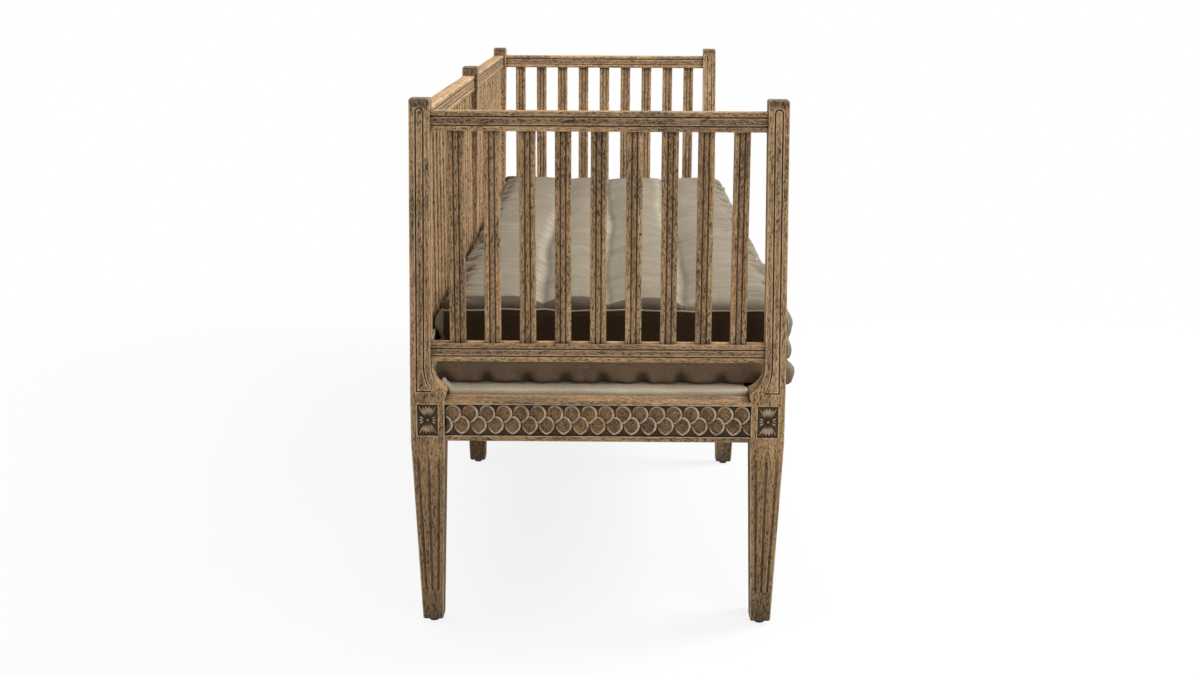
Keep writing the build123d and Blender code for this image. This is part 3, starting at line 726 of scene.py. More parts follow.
@dataclass
class Slats:
    """The moulded slats of the ends and the back: three rounded bands with two sunk grooves."""

    finishes: Finishes
    bands: int = 3
    groove: float = 2.8 * MM
    groove_floor: float = 1.0 * MM
    groove_depth: float = 2.2 * MM
    lip: float = 0.7 * MM
    round_over: float = 1.8 * MM
    tenon: float = 9.0 * MM
    seat: float = 1.0 * MM
    smooth_angle: float = 50.0
    least_gap: float = 10.0 * MM  # separate slats stand at least this far apart

    def pattern(self) -> bpy.types.Object:
        """One slat on the origin, with its width along Y, made from a block.

        Returns:
            The slat, to be copied and then thrown away.
        """
        low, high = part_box("left_end_slat_1")
        size = high - low
        thick, width = size.x, size.y
        tall = size.z - 2 * (self.tenon - self.seat)
        slat = block("slat_pattern", (-thick / 2, -width / 2, -tall / 2), (thick / 2, width / 2, tall / 2))
        middles = [index * width / self.bands - width / 2 for index in range(1, self.bands)]
        edit(slat)
        for middle in middles:
            for reach in (self.groove / 2, self.groove_floor / 2):
                for side in (-1, 1):
                    bpy.ops.mesh.select_all(action="SELECT")
                    bpy.ops.mesh.bisect(plane_co=(0, middle + side * reach, 0), plane_no=(0, 1, 0))
        for side in (-1, 1):
            choose(slat, "FACE", lambda face: (
                face.normal.x * side > SQUARELY
                and min(abs(face.calc_center_median().y - middle) for middle in middles) < EPS
            ))
            bpy.ops.transform.translate(value=(-side * self.groove_depth, 0, 0))

        def upright(edge: bmesh.types.BMEdge, places: Sequence[float]) -> bool:
            """Whether an edge runs up a face of the slat at one of some places across it."""
            first, second = (vertex.co for vertex in edge.verts)
            across = min(abs(abs(first.y) - place) for place in places)
            return abs(first.z - second.z) > tall / 2 and abs(first.x) > thick / 2 - EPS and across < EPS

        lips = [abs(middles[0]) + side * self.groove / 2 for side in (-1, 1)]
        choose(slat, "EDGE", lambda edge: upright(edge, [width / 2]))
        bpy.ops.mesh.bevel(offset=self.round_over, segments=3, affect="EDGES")
        choose(slat, "EDGE", lambda edge: upright(edge, lips))
        bpy.ops.mesh.bevel(offset=self.lip, segments=2, affect="EDGES")
        leave()
        marked(slat, "band", np.abs(corners(slat)[:, 1]) < abs(middles[0]) - self.groove_floor)
        smoothed(slat, self.smooth_angle)
        return slat

    def build(self) -> None:
        """Copy the slat to every place, one object for each node."""
        pattern = self.pattern()
        middle = sum(corner.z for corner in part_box("left_end_slat_1")) / 2
        for node in frame["nodes"]:
            if "end_slat" in node:
                low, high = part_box(node)
                place = Matrix.Translation(((low.x + high.x) / 2, (low.y + high.y) / 2, middle))
                self.seated(joined(f"{node}_moulded", [copied(pattern, node, place)]), node)
        for side in SIDES:
            node = f"back_{side}_slats"
            low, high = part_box(node)
            turned = Matrix.Rotation(math.radians(90), 4, "Z")
            copies = [
                copied(pattern, node, Matrix.Translation((x, (low.y + high.y) / 2, middle)) @ turned)
                for x in self.middles(node)
            ]
            self.seated(joined(f"back_{side}_moulded_slats", copies), node)
        scrapped(pattern)

    def middles(self, node: str) -> list[float]:
        """Middles along the bench of the separate slats in one node."""
        places = np.sort(corners(frame["nodes"][node])[:, 0])
        gaps = np.flatnonzero(np.diff(places) > self.least_gap)
        starts = np.concatenate(([0], gaps + 1))
        ends = np.concatenate((gaps, [len(places) - 1]))
        return [float(places[a] + places[b]) / 2 for a, b in zip(starts, ends)]

    def seated(self, piece: bpy.types.Object, node: str) -> None:
        """Let a moulded slat stand for its node."""
        rides(piece, BENCH, self.finishes.wood[Grain.UPRIGHT])
        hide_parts(node)


# ---------------------------------------------------------------- carving
@dataclass
class ScaleFrieze:
    """Two rows of carved scales in an apron's sunk band, each leaning so that it tucks under the next."""

    finishes: Finishes
    pitch: float = 28.9 * MM
    wide: float = 29.4 * MM
    tall: float = 33.5 * MM
    drop: float = 19.8 * MM
    rim: float = 3.0 * MM
    round_over: float = 0.9 * MM
    lift: float = 3.6 * MM
    root: float = 3.0 * MM
    dish: float = 1.3 * MM
    lean: float = 10.0
    panel: float = 55.0 * MM
    ground: float = 1.0 * MM
    ground_lift: float = 0.3 * MM
    cap: float = 6.0 * MM
    cap_proud: float = 2.0 * MM
    sunk: float = 5.0 * MM
    top_room: float = 0.4 * MM
    narrowing: tuple[tuple[float, float], ...] = ((67.5, 0.54), (45.0, 0.78), (22.5, 0.94))
    floor_inset: float = 0.3  # width of the slope into the dish, as a share of the rim
    pale_rim_start: tuple[float, float] = (0.44, 0.12)  # shares of the width: where the pale rim starts on the left, and its stretch
    smooth_angle: float = 40.0

    def scale(self) -> bpy.types.Object:
        """One scale lying flat, its point downwards, with a raised rim and a dished middle.

        Returns:
            The scale, to be copied and then thrown away.
        """
        bpy.ops.object.select_all(action="DESELECT")
        bpy.ops.mesh.primitive_cylinder_add(
            vertices=16, radius=0.5, depth=1.0, location=(0, 0, 0), end_fill_type="NGON"
        )
        scale = named("scale_pattern")
        scale.scale = (self.wide, self.tall, self.lift + self.root)
        scale.location = (0, 0, (self.lift - self.root) / 2)
        settle(scale)
        edit(scale)
        for turn, share in self.narrowing:
            level = -math.sin(math.radians(turn)) * self.tall / 2
            choose(scale, "VERT", lambda vertex: abs(vertex.co.y - level) < EPS)
            bpy.ops.transform.resize(value=(share, 1, 1))
        choose(scale, "EDGE", lambda edge: min(vertex.co.z for vertex in edge.verts) > self.lift - EPS)
        bpy.ops.mesh.bevel(offset=self.round_over, segments=1, affect="EDGES")
        choose(scale, "FACE", lambda face: face.normal.z > SQUARELY)
        bpy.ops.mesh.inset(thickness=self.rim - self.round_over)
        bpy.ops.mesh.inset(thickness=self.rim * self.floor_inset, depth=-self.dish)
        leave()
        places = corners(scale)
        rimmed = places[:, 2] > self.lift - self.round_over - EPS
        start, stretch = (self.wide * share for share in self.pale_rim_start)
        # the rim is pale as rubbed wear and as painted highlight, left out on the scale's left side, away
        # from the light
        marked(scale, "worn", rimmed * np.clip((places[:, 0] + start) / stretch, 0, 1))
        # painted shade: the scale's root below the ground is marked dark, so its side walls darken towards
        # the ground
        marked(scale, "ground", places[:, 2] < 0)
        smoothed(scale, self.smooth_angle)
        return scale

    def strip(self, name: str, node: str, facing: Facing, body: str, pattern: bpy.types.Object) -> None:
        """Carve one apron.

        Args:
            name: the carving's name.
            node: the apron that it lies on.
            facing: the way that the apron looks.
            body: the body that carries it.
            pattern: the scale to copy.
        """
        low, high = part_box(node)
        right, out = (Vector(way) for way in facing.value)
        long = abs(right.dot(high - low))
        middle = (low + high) / 2
        face = max(out.dot(low), out.dot(high)) - self.cap_proud - self.sunk
        origin = middle - out * out.dot(middle) + out * face
        origin.z = high.z - self.cap
        count = round(long / self.pitch)
        pitch = long / count
        lean = Matrix.Rotation(-math.radians(self.lean), 4, "Y")
        copies = []
        for row in range(2):
            top = -row * self.drop - self.tall / 2 - self.top_room
            for index in range(count + row):
                across = (index + 0.5 * (1 - row)) * pitch - long / 2
                place = facing.turned(origin) @ Matrix.Translation((across, top, 0)) @ lean
                copies.append(copied(pattern, name, place))
        half = right * (long / 2)
        low_corner = origin - half - out * self.ground - Vector((0, 0, self.panel))
        ground = block(name, low_corner, origin + half + out * self.ground_lift)
        # painted shade and glazing on the sunk ground behind the scales
        marked(ground, "ground", np.full(len(ground.data.vertices), GROUND_GLAZE_AND_SHADE))
        carving = joined(name, [*copies, ground])
        edit(carving)
        for side in (-1, 1):
            bpy.ops.mesh.select_all(action="SELECT")
            end = middle + right * side * (long / 2 - EPS)
            bpy.ops.mesh.bisect(plane_co=end, plane_no=right * side, clear_outer=True, use_fill=True)
        leave()
        rides(carving, body, self.finishes.carving)

    def build(self) -> None:
        """Carve the aprons of both ends and of the pull-out front."""
        pattern = self.scale()
        self.strip("left_end_scales", "left_end_apron", Facing.LEFT, BENCH, pattern)
        self.strip("right_end_scales", "right_end_apron", Facing.RIGHT, BENCH, pattern)
        for side in SIDES:
            self.strip(f"front_{side}_scales", f"front_{side}_apron", Facing.FRONT, PULL_OUT, pattern)
        scrapped(pattern)


@dataclass(frozen=True)
class Leaf:
    """A size of leaf: how far from the middle it starts, and how long, wide and high it is."""

    start: float
    long: float
    wide: float
    high: float

    def placed(self, turn: float) -> Matrix:
        """Matrix that brings a leaf of unit size to this size, turned about the middle by degrees."""
        shape = Matrix.Diagonal((self.long, self.wide, self.high, 1.0))
        spin = Matrix.Rotation(math.radians(turn), 4, "Z")
        return spin @ Matrix.Translation((self.start, 0, 0)) @ shape


LOBE = Leaf(4.0 * MM, 12.2 * MM, 4.2 * MM, 2.3 * MM)
FAN_INNER = Leaf(4.0 * MM, 21.5 * MM, 6.4 * MM, 2.0 * MM)
FAN_OUTER = Leaf(4.0 * MM, 20.5 * MM, 6.4 * MM, 2.0 * MM)


@dataclass
class Pateras:
    """The leaf carvings in the seat blocks: a cross of ribs, lobes at the sides, fans above and below."""

    finishes: Finishes
    wide: float = 35.0 * MM
    bottom: float = 343.0 * MM
    top: float = 398.0 * MM
    sunk: float = 3.0 * MM
    ground: float = 1.0 * MM
    ground_lift: float = 0.25 * MM
    block_size: float = 57.5 * MM
    rib_start: float = 0.6 * MM
    rib_wide: float = 3.4 * MM
    rib_high: float = 3.0 * MM
    rib_short: float = 2.0 * MM  # how far a rib stops before the recess's corner
    rib_aim: tuple[float, float] = (1.5 * MM, 2.0 * MM)  # how far inside that corner a rib points
    lobes: tuple[tuple[float, Leaf], ...] = ((-22, LOBE), (0, LOBE), (22, LOBE))
    fan: tuple[tuple[float, Leaf], ...] = ((-21, FAN_OUTER), (-7, FAN_INNER), (7, FAN_INNER), (21, FAN_OUTER))
    boss: tuple[float, float, float] = (6.4 * MM, 6.4 * MM, 3.2 * MM)
    stem: float = 0.30  # from here on, these are shares of a leaf's own length, width and height
    stem_wide: float = 0.42
    crown_inset: float = 0.16
    crown_rise: float = 0.45
    worn_above: float = 0.6
    worn_mark: float = 0.62
    # root_mark darkens the leaves' roots with glazing and painted shade
    root_mark: float = 0.70
    smooth_angle: float = 60.0

    def leaf(self) -> bpy.types.Object:
        """One leaf a unit long on the X axis, its stem at the origin, rounded at the tip."""
        bpy.ops.object.select_all(action="DESELECT")
        bpy.ops.mesh.primitive_cylinder_add(
            vertices=12, radius=0.5, depth=1.0, location=(0.5, 0, 0), end_fill_type="NGON"
        )
        leaf = named("leaf_pattern")
        settle(leaf)
        edit(leaf)
        choose(leaf, "VERT", lambda vertex: vertex.co.x < self.stem)
        bpy.ops.transform.resize(value=(1, self.stem_wide, 1), center_override=(0, 0, 0))
        choose(leaf, "FACE", lambda face: face.normal.z > SQUARELY)
        bpy.ops.mesh.inset(thickness=self.crown_inset, depth=0.0)
        bpy.ops.transform.translate(value=(0, 0, self.crown_rise))
        leave()
        height = corners(leaf)[:, 2]
        marked(leaf, "worn", self.worn_mark * (height > self.worn_above))
        marked(leaf, "ground", self.root_mark * (height < 0))
        smoothed(leaf, self.smooth_angle)
        return leaf

    def carve(self, name: str, centre: Vector, facing: Facing, body: str, leaf: bpy.types.Object) -> None:
        """Carve one patera.

        Args:
            name: the carving's name.
            centre: the middle of the recess's floor.
            facing: the way that the block looks.
            body: the body that carries it.
            leaf: the leaf to copy.
        """
        half_wide, half_tall = self.wide / 2, (self.top - self.bottom) / 2
        place = facing.turned(centre)
        aim_wide, aim_tall = self.rib_aim
        spread = math.degrees(math.atan2(half_tall - aim_tall, half_wide - aim_wide))
        reach = math.hypot(half_wide, half_tall) - self.rib_short
        rib = Leaf(self.rib_start, reach - self.rib_start, self.rib_wide, self.rib_high)
        leaves = [(turn, rib) for turn in (spread, 180 - spread, 180 + spread, -spread)]
        for flip in (0, 180):
            leaves += [(turn + flip, size) for turn, size in self.lobes]
            leaves += [(turn + 90 + flip, size) for turn, size in self.fan]
        copies = [copied(leaf, name, place @ size.placed(turn)) for turn, size in leaves]
        centred = Matrix.Translation((-0.5, 0, 0))
        boss = copied(leaf, name, place @ Matrix.Diagonal((*self.boss, 1.0)) @ centred)
        ground = block(name, (-half_wide, -half_tall, -self.ground), (half_wide, half_tall, self.ground_lift))
        ground.data.transform(place)
        # painted shade and glazing on the recess's ground
        marked(ground, "ground", np.full(len(ground.data.vertices), GROUND_GLAZE_AND_SHADE))
        rides(joined(name, [*copies, boss, ground]), body, self.finishes.carving)

    def build(self) -> None:
        """Carve the seat blocks of the ends and of the front."""
        leaf = self.leaf()
        height = (self.bottom + self.top) / 2
        half = self.block_size / 2
        for side, facing in zip(SIDES, (Facing.LEFT, Facing.RIGHT)):
            for front in ("front", "back"):
                low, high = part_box(f"{side}_{front}_post")
                y = low.y + half if front == "front" else high.y - half
                x = low.x + self.sunk if side == "left" else high.x - self.sunk
                self.carve(f"{side}_{front}_end_patera", Vector((x, y, height)), facing, BENCH, leaf)
            low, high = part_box(f"{side}_front_post")
            x = low.x + half if side == "left" else high.x - half
            spot = Vector((x, low.y + self.sunk, height))
            self.carve(f"{side}_front_patera", spot, Facing.FRONT, BENCH, leaf)
        low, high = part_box("centre_front_leg")
        spot = Vector(((low.x + high.x) / 2, low.y + self.sunk, height))
        self.carve("centre_front_patera", spot, Facing.FRONT, PULL_OUT, leaf)
        scrapped(leaf)


# ---------------------------------------------------------------- soft goods
def ripple(places: np.ndarray, seed: int, size: float, count: int = 9) -> np.ndarray:
    """Smooth random waves over a mesh.

    Args:
        places: the vertices' places.
        seed: the draw that the waves come from.
        size: about how long a wave is, in metres.
        count: how many waves are laid over each other.

    Returns:
        A value from about -1 to 1 for each vertex.
    """
    draw = np.random.default_rng(seed)
    total = np.zeros(len(places))
    for _ in range(count):
        way = draw.normal(size=3)
        way *= 2 * math.pi / (size * draw.uniform(*WAVE_SPREAD) * np.linalg.norm(way))
        total += np.sin(places @ way + draw.uniform(0, 2 * math.pi))
    return total / math.sqrt(count)


def near(values: np.ndarray, line: float, reach: float) -> np.ndarray:
    """How near values lie to a line: 1 on it, falling smoothly to 0."""
    return np.exp(-((values - line) / reach) ** 2)


def held_in(values: np.ndarray) -> np.ndarray:
    """Values held between 0 and 1."""
    return np.clip(values, 0, 1)


@dataclass(frozen=True)
class Wave:
    """Folds in cloth: waves along a line, set off their even step by a slow random ripple."""

    period: float
    stray: float  # how far the waves stray from their step, in radians
    seed: int
    size: float  # about how long the ripple is
    height: float = 1.0

    def along(self, places: np.ndarray, line: np.ndarray) -> np.ndarray:
        """Height of the folds at each vertex, from how far along the line it is."""
        stray = self.stray * ripple(places, self.seed, self.size)
        return self.height * np.sin(2 * math.pi * line / self.period + stray)


@dataclass(frozen=True)
class Drift:
    """A share that drifts slowly over the cloth, so that its folds come and go."""

    middle: float
    swing: float
    seed: int
    size: float
    least: float = 0.0
    most: float = 1.0

    def share(self, places: np.ndarray) -> np.ndarray:
        """The share at each vertex."""
        return np.clip(self.middle + self.swing * ripple(places, self.seed, self.size), self.least, self.most)


@dataclass(frozen=True)
class Groove:
    """A rounded groove that a seam pulls into cloth."""

    depth: float
    reach: float

    def beside(self, away: np.ndarray) -> np.ndarray:
        """Depth at each vertex, from how far off the seam it is."""
        return self.depth * near(away, 0, self.reach)


@dataclass(frozen=True)
class Dimples:
    """Hollows that stitches pull into cloth at even gaps along a line."""

    gap: float
    depth: float
    wide: float  # share of the gap
    reach: float

    def along(self, line: np.ndarray, away: np.ndarray) -> np.ndarray:
        """Depth at each vertex, from how far along the line and how far off it the vertex is."""
        spot = near((line / self.gap + 0.5) % 1.0 - 0.5, 0, self.wide)
        return self.depth * spot * near(away, 0, self.reach)


@dataclass(frozen=True)
class Cushioning:
    """Fills a soft block: pressure pushes its cloth out between the seams that hold it."""

    frames: int
    pressure: float
    cap: float  # about the farthest that a vertex may move
    slack: float
    loose: float = 0.02  # vertices held less firmly than this aren't held at all

    def fill(self, piece: bpy.types.Object, held: np.ndarray) -> None:
        """Blow up a remeshed block with cloth simulation.

        Args:
            piece: the block, already remeshed.
            held: for each vertex, how firmly it stays where it is, from 0 to 1.
        """
        before = corners(piece)
        group = piece.vertex_groups.new(name="held")
        for index in np.flatnonzero(held > self.loose):
            group.add([int(index)], float(held[index]), "REPLACE")
        pick(piece)
        cloth = piece.modifiers.new("Cloth", "CLOTH")
        cloth.settings.quality = 4
        cloth.settings.mass = 0.25
        cloth.settings.tension_stiffness = 12
        cloth.settings.compression_stiffness = 12
        cloth.settings.shear_stiffness = 4
        cloth.settings.bending_stiffness = 0.3
        cloth.settings.use_pressure = True
        cloth.settings.uniform_pressure_force = self.pressure
        cloth.settings.shrink_min = -self.slack
        cloth.settings.vertex_group_mass = "held"
        cloth.settings.pin_stiffness = 1.0
        cloth.settings.effector_weights.gravity = 0.0
        cloth.collision_settings.use_collision = False
        cloth.point_cache.frame_start = 1
        cloth.point_cache.frame_end = self.frames
        for step in range(1, self.frames + 1):
            bpy.context.scene.frame_set(step)
        bpy.ops.object.modifier_apply(modifier=cloth.name)
        bpy.context.scene.frame_set(1)
        piece.vertex_groups.clear()
        shift = corners(piece) - before
        length = np.linalg.norm(shift, axis=1, keepdims=True)
        limit = self.cap * np.tanh(length / self.cap) / np.maximum(length, TINY)
        moved(piece, before + shift * limit)


@dataclass
class DeckPad:
    """The folded linen pad that lies on the slats under the mattress, its back edge lapped over the apron."""

    finishes: Finishes
    inset: float = 0.6 * MM
    front_room: float = 1.0 * MM
    back_room: float = 2.5 * MM
    corner_wide: float = 40.0 * MM
    corner_room: float = 6.0 * MM
    edge: float = 3.5 * MM
    voxel: float = 5.0 * MM
    lap: float = 31.0 * MM
    lap_end: float = 17.0 * MM
    lap_middle: float = 33.0 * MM
    lap_lift: float = 21.5 * MM
    ear_half: tuple[float, float, float] = (12.0 * MM, 4.0 * MM, 12.0 * MM)
    ear_place: tuple[float, float, float] = (18.0 * MM, 7.0 * MM, 6.0 * MM)  # from the left back top corner
    ear_tilt: float = math.radians(35)
    fold: float = 1.8 * MM
    fold_reach: float = 2.5 * MM
    swell: float = 0.7 * MM
    swell_ripple: tuple[int, float] = (5, 0.16)  # seed and size
    swell_flat: float = 0.35  # share of the swell that the flat faces get
    crumple: float = 0.6 * MM
    crumple_ripple: tuple[int, float] = (6, 0.05)
    side_blend: tuple[float, float] = (1.4, 0.4)
    looks_up: float = 0.5  # least part of a normal that makes it the top, or downwards the underside

    def parts(self, low: Vector, high: Vector) -> list[bpy.types.Object]:
        """The squared parts of the pad.

        Args:
            low: the low corner of the pad's node.
            high: its high corner.

        Returns:
            The folded pad, its front corners, its laps over the back apron and its turned-up ear.
        """
        front = Vector((self.inset, -self.front_room, 0))
        parts = [block("linen_pad", low + front, high - Vector((self.inset, -self.back_room, 0)))]
        for side in (-1, 1):
            ends = sorted((side * self.lap_middle, side * (high.x - self.lap_end)))
            start = Vector((ends[0], high.y - self.lap, low.z + self.lap_lift))
            parts.append(block("pad_lap", start, (ends[1], high.y + self.lap, high.z + self.inset)))
            ends = sorted((side * (high.x - self.corner_wide), side * (high.x - self.inset)))
            start = (ends[0], low.y - self.corner_room, low.z)
            parts.append(block("pad_corner", start, (ends[1], low.y + self.corner_wide, high.z)))
        ear = block("pad_ear", -Vector(self.ear_half), Vector(self.ear_half))
        tilt = Matrix.Rotation(-self.ear_tilt, 4, "X")
        x, y, z = self.ear_place
        ear.data.transform(Matrix.Translation((low.x + x, high.y + y, high.z + z)) @ tilt)
        return [*parts, ear]

    def build(self) -> None:
        """Model the pad and let it stand for its node."""
        low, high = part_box("deck_pad")
        parts = self.parts(low, high)
        for part in parts:
            edit(part)
            bpy.ops.mesh.select_all(action="SELECT")
            thin = "lap" in part.name or "ear" in part.name
            bpy.ops.mesh.bevel(offset=self.edge / 2 if thin else self.edge, segments=3, affect="EDGES")
            leave()
        pad = joined("linen_pad", parts)
        finished(pad, "REMESH", mode="VOXEL", voxel_size=self.voxel, use_smooth_shade=True)
        places, normals = corners(pad), outward(pad)
        gain, start = self.side_blend
        sideways = held_in(np.hypot(normals[:, 0], normals[:, 1]) * gain - start)
        push = self.swell * ripple(places, *self.swell_ripple) * (self.swell_flat + sideways)
        push += self.crumple * ripple(places, *self.crumple_ripple) * sideways
        push -= self.fold * sideways * near(places[:, 2], (low.z + high.z) / 2, self.fold_reach)
        upper = normals[:, 2] > self.looks_up
        push[normals[:, 2] < -self.looks_up] = 0.0
        push[upper] = np.minimum(push[upper], 0.0)
        moved(pad, places + normals * push[:, None])
        smoothed(pad, SOFT_ANGLE)
        rides(pad, BENCH, self.finishes.pad)
        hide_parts("deck_pad")


class Skin:
    """The mattress's cloth: where its vertices lie, and which way and how squarely they look."""

    side_blend = (1.6, 0.3)
    top_blend = 1.4

    def __init__(self, body: bpy.types.Object) -> None:
        """Read the vertices of a mattress.

        Args:
            body: the mattress, with its channels running along the X axis.
        """
        low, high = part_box("mattress")
        self.places, self.normals = corners(body), outward(body)
        self.along, self.across, self.height = self.places.T
        gain, start = self.side_blend
        self.end_side, self.long_side = held_in(np.abs(self.normals[:, :2]) * gain - start).T
        self.upper = held_in(self.normals[:, 2] * self.top_blend)
        self.from_side = np.minimum(self.across - low.y, high.y - self.across)


@dataclass
class Mattress:
    """A hand-stitched mattress: four soft channels on top and three stitched rolls down its long sides."""

    finishes: Finishes
    # the blank
    inset: tuple[float, float] = (4.0 * MM, 5.0 * MM)
    top_room: float = 2.0 * MM
    corner: float = 14.0 * MM
    edge: float = 6.0 * MM
    voxel: float = 10.8 * MM
    upright_edge: float = 50.0 * MM  # edges that rise more than this are the blank's corners
    # the channels on top
    valleys: tuple[float, ...] = (0.28, 0.48, 0.71)
    valley_bends: tuple[Point, ...] = ((6.0 * MM, 5.1, 9.0), (2.0 * MM, 14.7, 20.0))  # height, rate, shift
    valley_blend: float = 1.6
    valley_depth: float = 15.0 * MM
    valley_reach: tuple[float, float] = (14.0 * MM, 40.0 * MM)
    valley_groove: Groove = Groove(3.5 * MM, 6.0 * MM)
    near_stretch: tuple[float, float] = (80.0 * MM, 60.0 * MM)  # length at the left end, and of its fade
    near_flat: float = 0.65  # how much shallower the channels are at the left end
    far_stretch: float = 250.0 * MM
    far_flat: tuple[float, float, float] = (0.92, 0.90, 0.80)  # the same at the right end: blank, tie, groove
    # the filling
    filling: Cushioning = Cushioning(frames=20, pressure=8.0, cap=8.0 * MM, slack=0.015)
    quick_filling: float = 7.0 * MM
    seam_hold: float = 0.55  # how far a seam holds the cloth, in voxels
    tie: float = 0.95
    looks_out: float = 0.60  # least part of a normal that makes it a side, the top or the underside
    looks_up: float = 0.45
    looks_down: float = 0.60
    # rolls and seams
    piping_height: float = 541.0 * MM
    roll_seams: tuple[float, ...] = (453.0 * MM, 492.0 * MM)
    roll_bulge: float = 5.0 * MM
    roll_crinkle: tuple[float, ...] = (1.7 * MM, 0.35 * MM, 1.7 * MM)
    crinkle: Wave = Wave(23.0 * MM, 2.4, 21, 0.10)
    crinkled: Drift = Drift(0.5, 0.6, 22, 0.15)
    end_bulge: float = 12.0 * MM
    end_fullness: float = 0.6  # below 1, the roll at the ends is squarer
    pucker: Wave = Wave(31.0 * MM, 2.0, 23, 0.12, 1.8 * MM)
    roll_groove: Groove = Groove(3.5 * MM, 4.0 * MM)
    end_groove: Groove = Groove(3.0 * MM, 4.0 * MM)
    piping_groove: Groove = Groove(2.0 * MM, 3.5 * MM)
    side_room: float = 3.5 * MM
    top_inset: float = 4.0 * MM
    inset_slope: float = 24.0 * MM
    square: float = 8.0 * MM
    settled: float = 13.0 * MM  # below this, the mattress sinks flat onto the pad
    pressed: float = 0.1  # least share of its height above the pad that the cloth keeps
    underside: tuple[float, float] = (-0.80, 0.30)  # faces that look down keep their place
    # gathers and creases
    gather: Wave = Wave(25.0 * MM, 2.6, 11, 0.10, 4.6 * MM)
    gather_strip: tuple[float, float] = (8.0 * MM, 24.0 * MM)  # the middle and reach of where it shows
    gather_below: float = 0.30  # share of it that is left where the cloth turns down
    gathered: Drift = Drift(0.70, 0.5, 12, 0.20)
    fan: Wave = Wave(52.0 * MM, 2.2, 16, 0.16, 4.4 * MM)
    fan_strip: tuple[float, float] = (34.0 * MM, 42.0 * MM)
    ruffle: Wave = Wave(22.0 * MM, 2.2, 32, 0.12)
    ruffle_height: float = 1.5 * MM
    ruffle_strip: tuple[float, float] = (7.0 * MM, 8.0 * MM)
    scallop: Wave = Wave(79.0 * MM, 2.8, 18, 0.15, 5.5 * MM)
    scallop_strip: tuple[float, float] = (2.0 * MM, 18.0 * MM)
    scallop_rise: float = 6.0 * MM
    crease: Wave = Wave(67.0 * MM, 3.0, 13, 0.24, 1.2 * MM)
    creased: Drift = Drift(0.5, 1.0, 14, 0.25)
    sag: Wave = Wave(150.0 * MM, 2.0, 17, 0.30, 1.0 * MM)
    sag_strip: tuple[float, float] = (14.0 * MM, 22.0 * MM)
    swell: float = 1.0 * MM
    swell_ripple: tuple[int, float] = (15, 0.13)  # seed and size
    swell_below: float = 0.4
    # stitches and tufts
    stitch_height: float = 425.0 * MM
    stitch_start: float = 10.0 * MM
    stitch: Dimples = Dimples(68.0 * MM, 9.0 * MM, 0.15, 8.0 * MM)
    seam_stitch: Dimples = Dimples(68.0 * MM, 3.5 * MM, 0.13, 8.0 * MM)
    tuft: Dimples = Dimples(118.0 * MM, 8.5 * MM, 0.17, 10.0 * MM)
    tuft_line: float = 22.0 * MM
    # painted shade on the ends and in the tucks, painted highlight on the ridges, and piping
    over_the_top: float = 33.0 * MM
    notch: tuple[float, float] = (0.30, 28.0 * MM)  # how much it steps back in a valley, and over what reach
    end_shade_blur: tuple[float, float] = (5.0 * MM, 8.0 * MM)  # of the painted end shade's edges across and along the channels
    stitch_shade: tuple[float, float] = (7.0 * MM, 0.75)  # depth that counts as full, and the most shade
    tied_mark: float = 0.46
    tied_strip: tuple[float, float] = (-4.0 * MM, 6.0 * MM)
    fold_shade: tuple[float, float, float] = (3.0 * MM, 0.12, 0.55)  # full depth, share all over, at edges
    fold_strip: tuple[float, float] = (12.0 * MM, 48.0 * MM)
    # ridge_mark, ridge_ruffle, the drift below and ridge_strip set the painted highlight behind each valley
    ridge_mark: float = 0.36
    ridge_ruffle: tuple[float, float] = (0.8, 0.4)
    painted_ridge_light: Drift = Drift(0.9, 0.5, 31, 0.06, 0.3, 1.3)
    end_facing: tuple[float, float] = (0.70, 0.20)  # how squarely a side looks to the end, and the blur of it
    ridge_strip: tuple[float, float] = (11.0 * MM, 9.0 * MM)
    piping_thick: float = 3.0 * MM
    piping_step: float = 14.0 * MM
    piping_drift: tuple[tuple[float, float], ...] = ((1.1 * MM, 31.0), (0.7 * MM, 83.0))  # height and rate

    def blank(self) -> bpy.types.Object:
        """The mattress before it is filled: a rounded block, its top pressed in along the channels."""
        low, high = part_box("mattress")
        inset = Vector((*self.inset, 0))
        body = block("mattress_body", low + inset, high - inset - Vector((0, 0, self.top_room)))
        edit(body)
        choose(body, "EDGE", lambda edge: abs(edge.verts[0].co.z - edge.verts[1].co.z) > self.upright_edge)
        bpy.ops.mesh.bevel(offset=self.corner, segments=5, affect="EDGES")
        for way in (-1, 1):
            choose(body, "FACE", lambda face: face.normal.z * way > SQUARELY)
            bpy.ops.mesh.bevel(offset=self.edge, segments=3, affect="EDGES")
        leave()
        finished(body, "REMESH", mode="VOXEL", voxel_size=self.voxel, use_smooth_shade=True)
        places, normals = corners(body), outward(body)
        upper = held_in(normals[:, 2] * self.valley_blend)
        start, stretch = self.near_stretch
        near_end = held_in((low.x + start - places[:, 0]) / stretch)
        flat = np.maximum(self.far_flat[0] * self.to_far_end(places), self.near_flat * near_end)
        away = self.from_valley(places)
        reach = np.where(away > 0, *self.valley_reach)
        places[:, 2] -= self.valley_depth * (1 - flat) * upper * near(away, 0, reach)
        moved(body, places)
        return body

    def to_far_end(self, places: np.ndarray) -> np.ndarray:
        """How far along the flatter stretch at the right end each vertex is, from 0 to 1."""
        _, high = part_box("mattress")
        return held_in((places[:, 0] - high.x + self.far_stretch) / self.far_stretch)

    def from_valley(self, places: np.ndarray) -> np.ndarray:
        """How far each vertex is from the nearest valley between two channels, towards the back."""
        low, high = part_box("mattress")
        away = []
        for share in self.valleys:
            line = high.y - share * (high.y - low.y)
            for height, rate, shift in self.valley_bends:
                line = line + height * np.sin(places[:, 0] * rate + shift * share)
            away.append(places[:, 1] - line)
        away = np.array(away)
        return away[np.abs(away).argmin(axis=0), np.arange(len(places))]

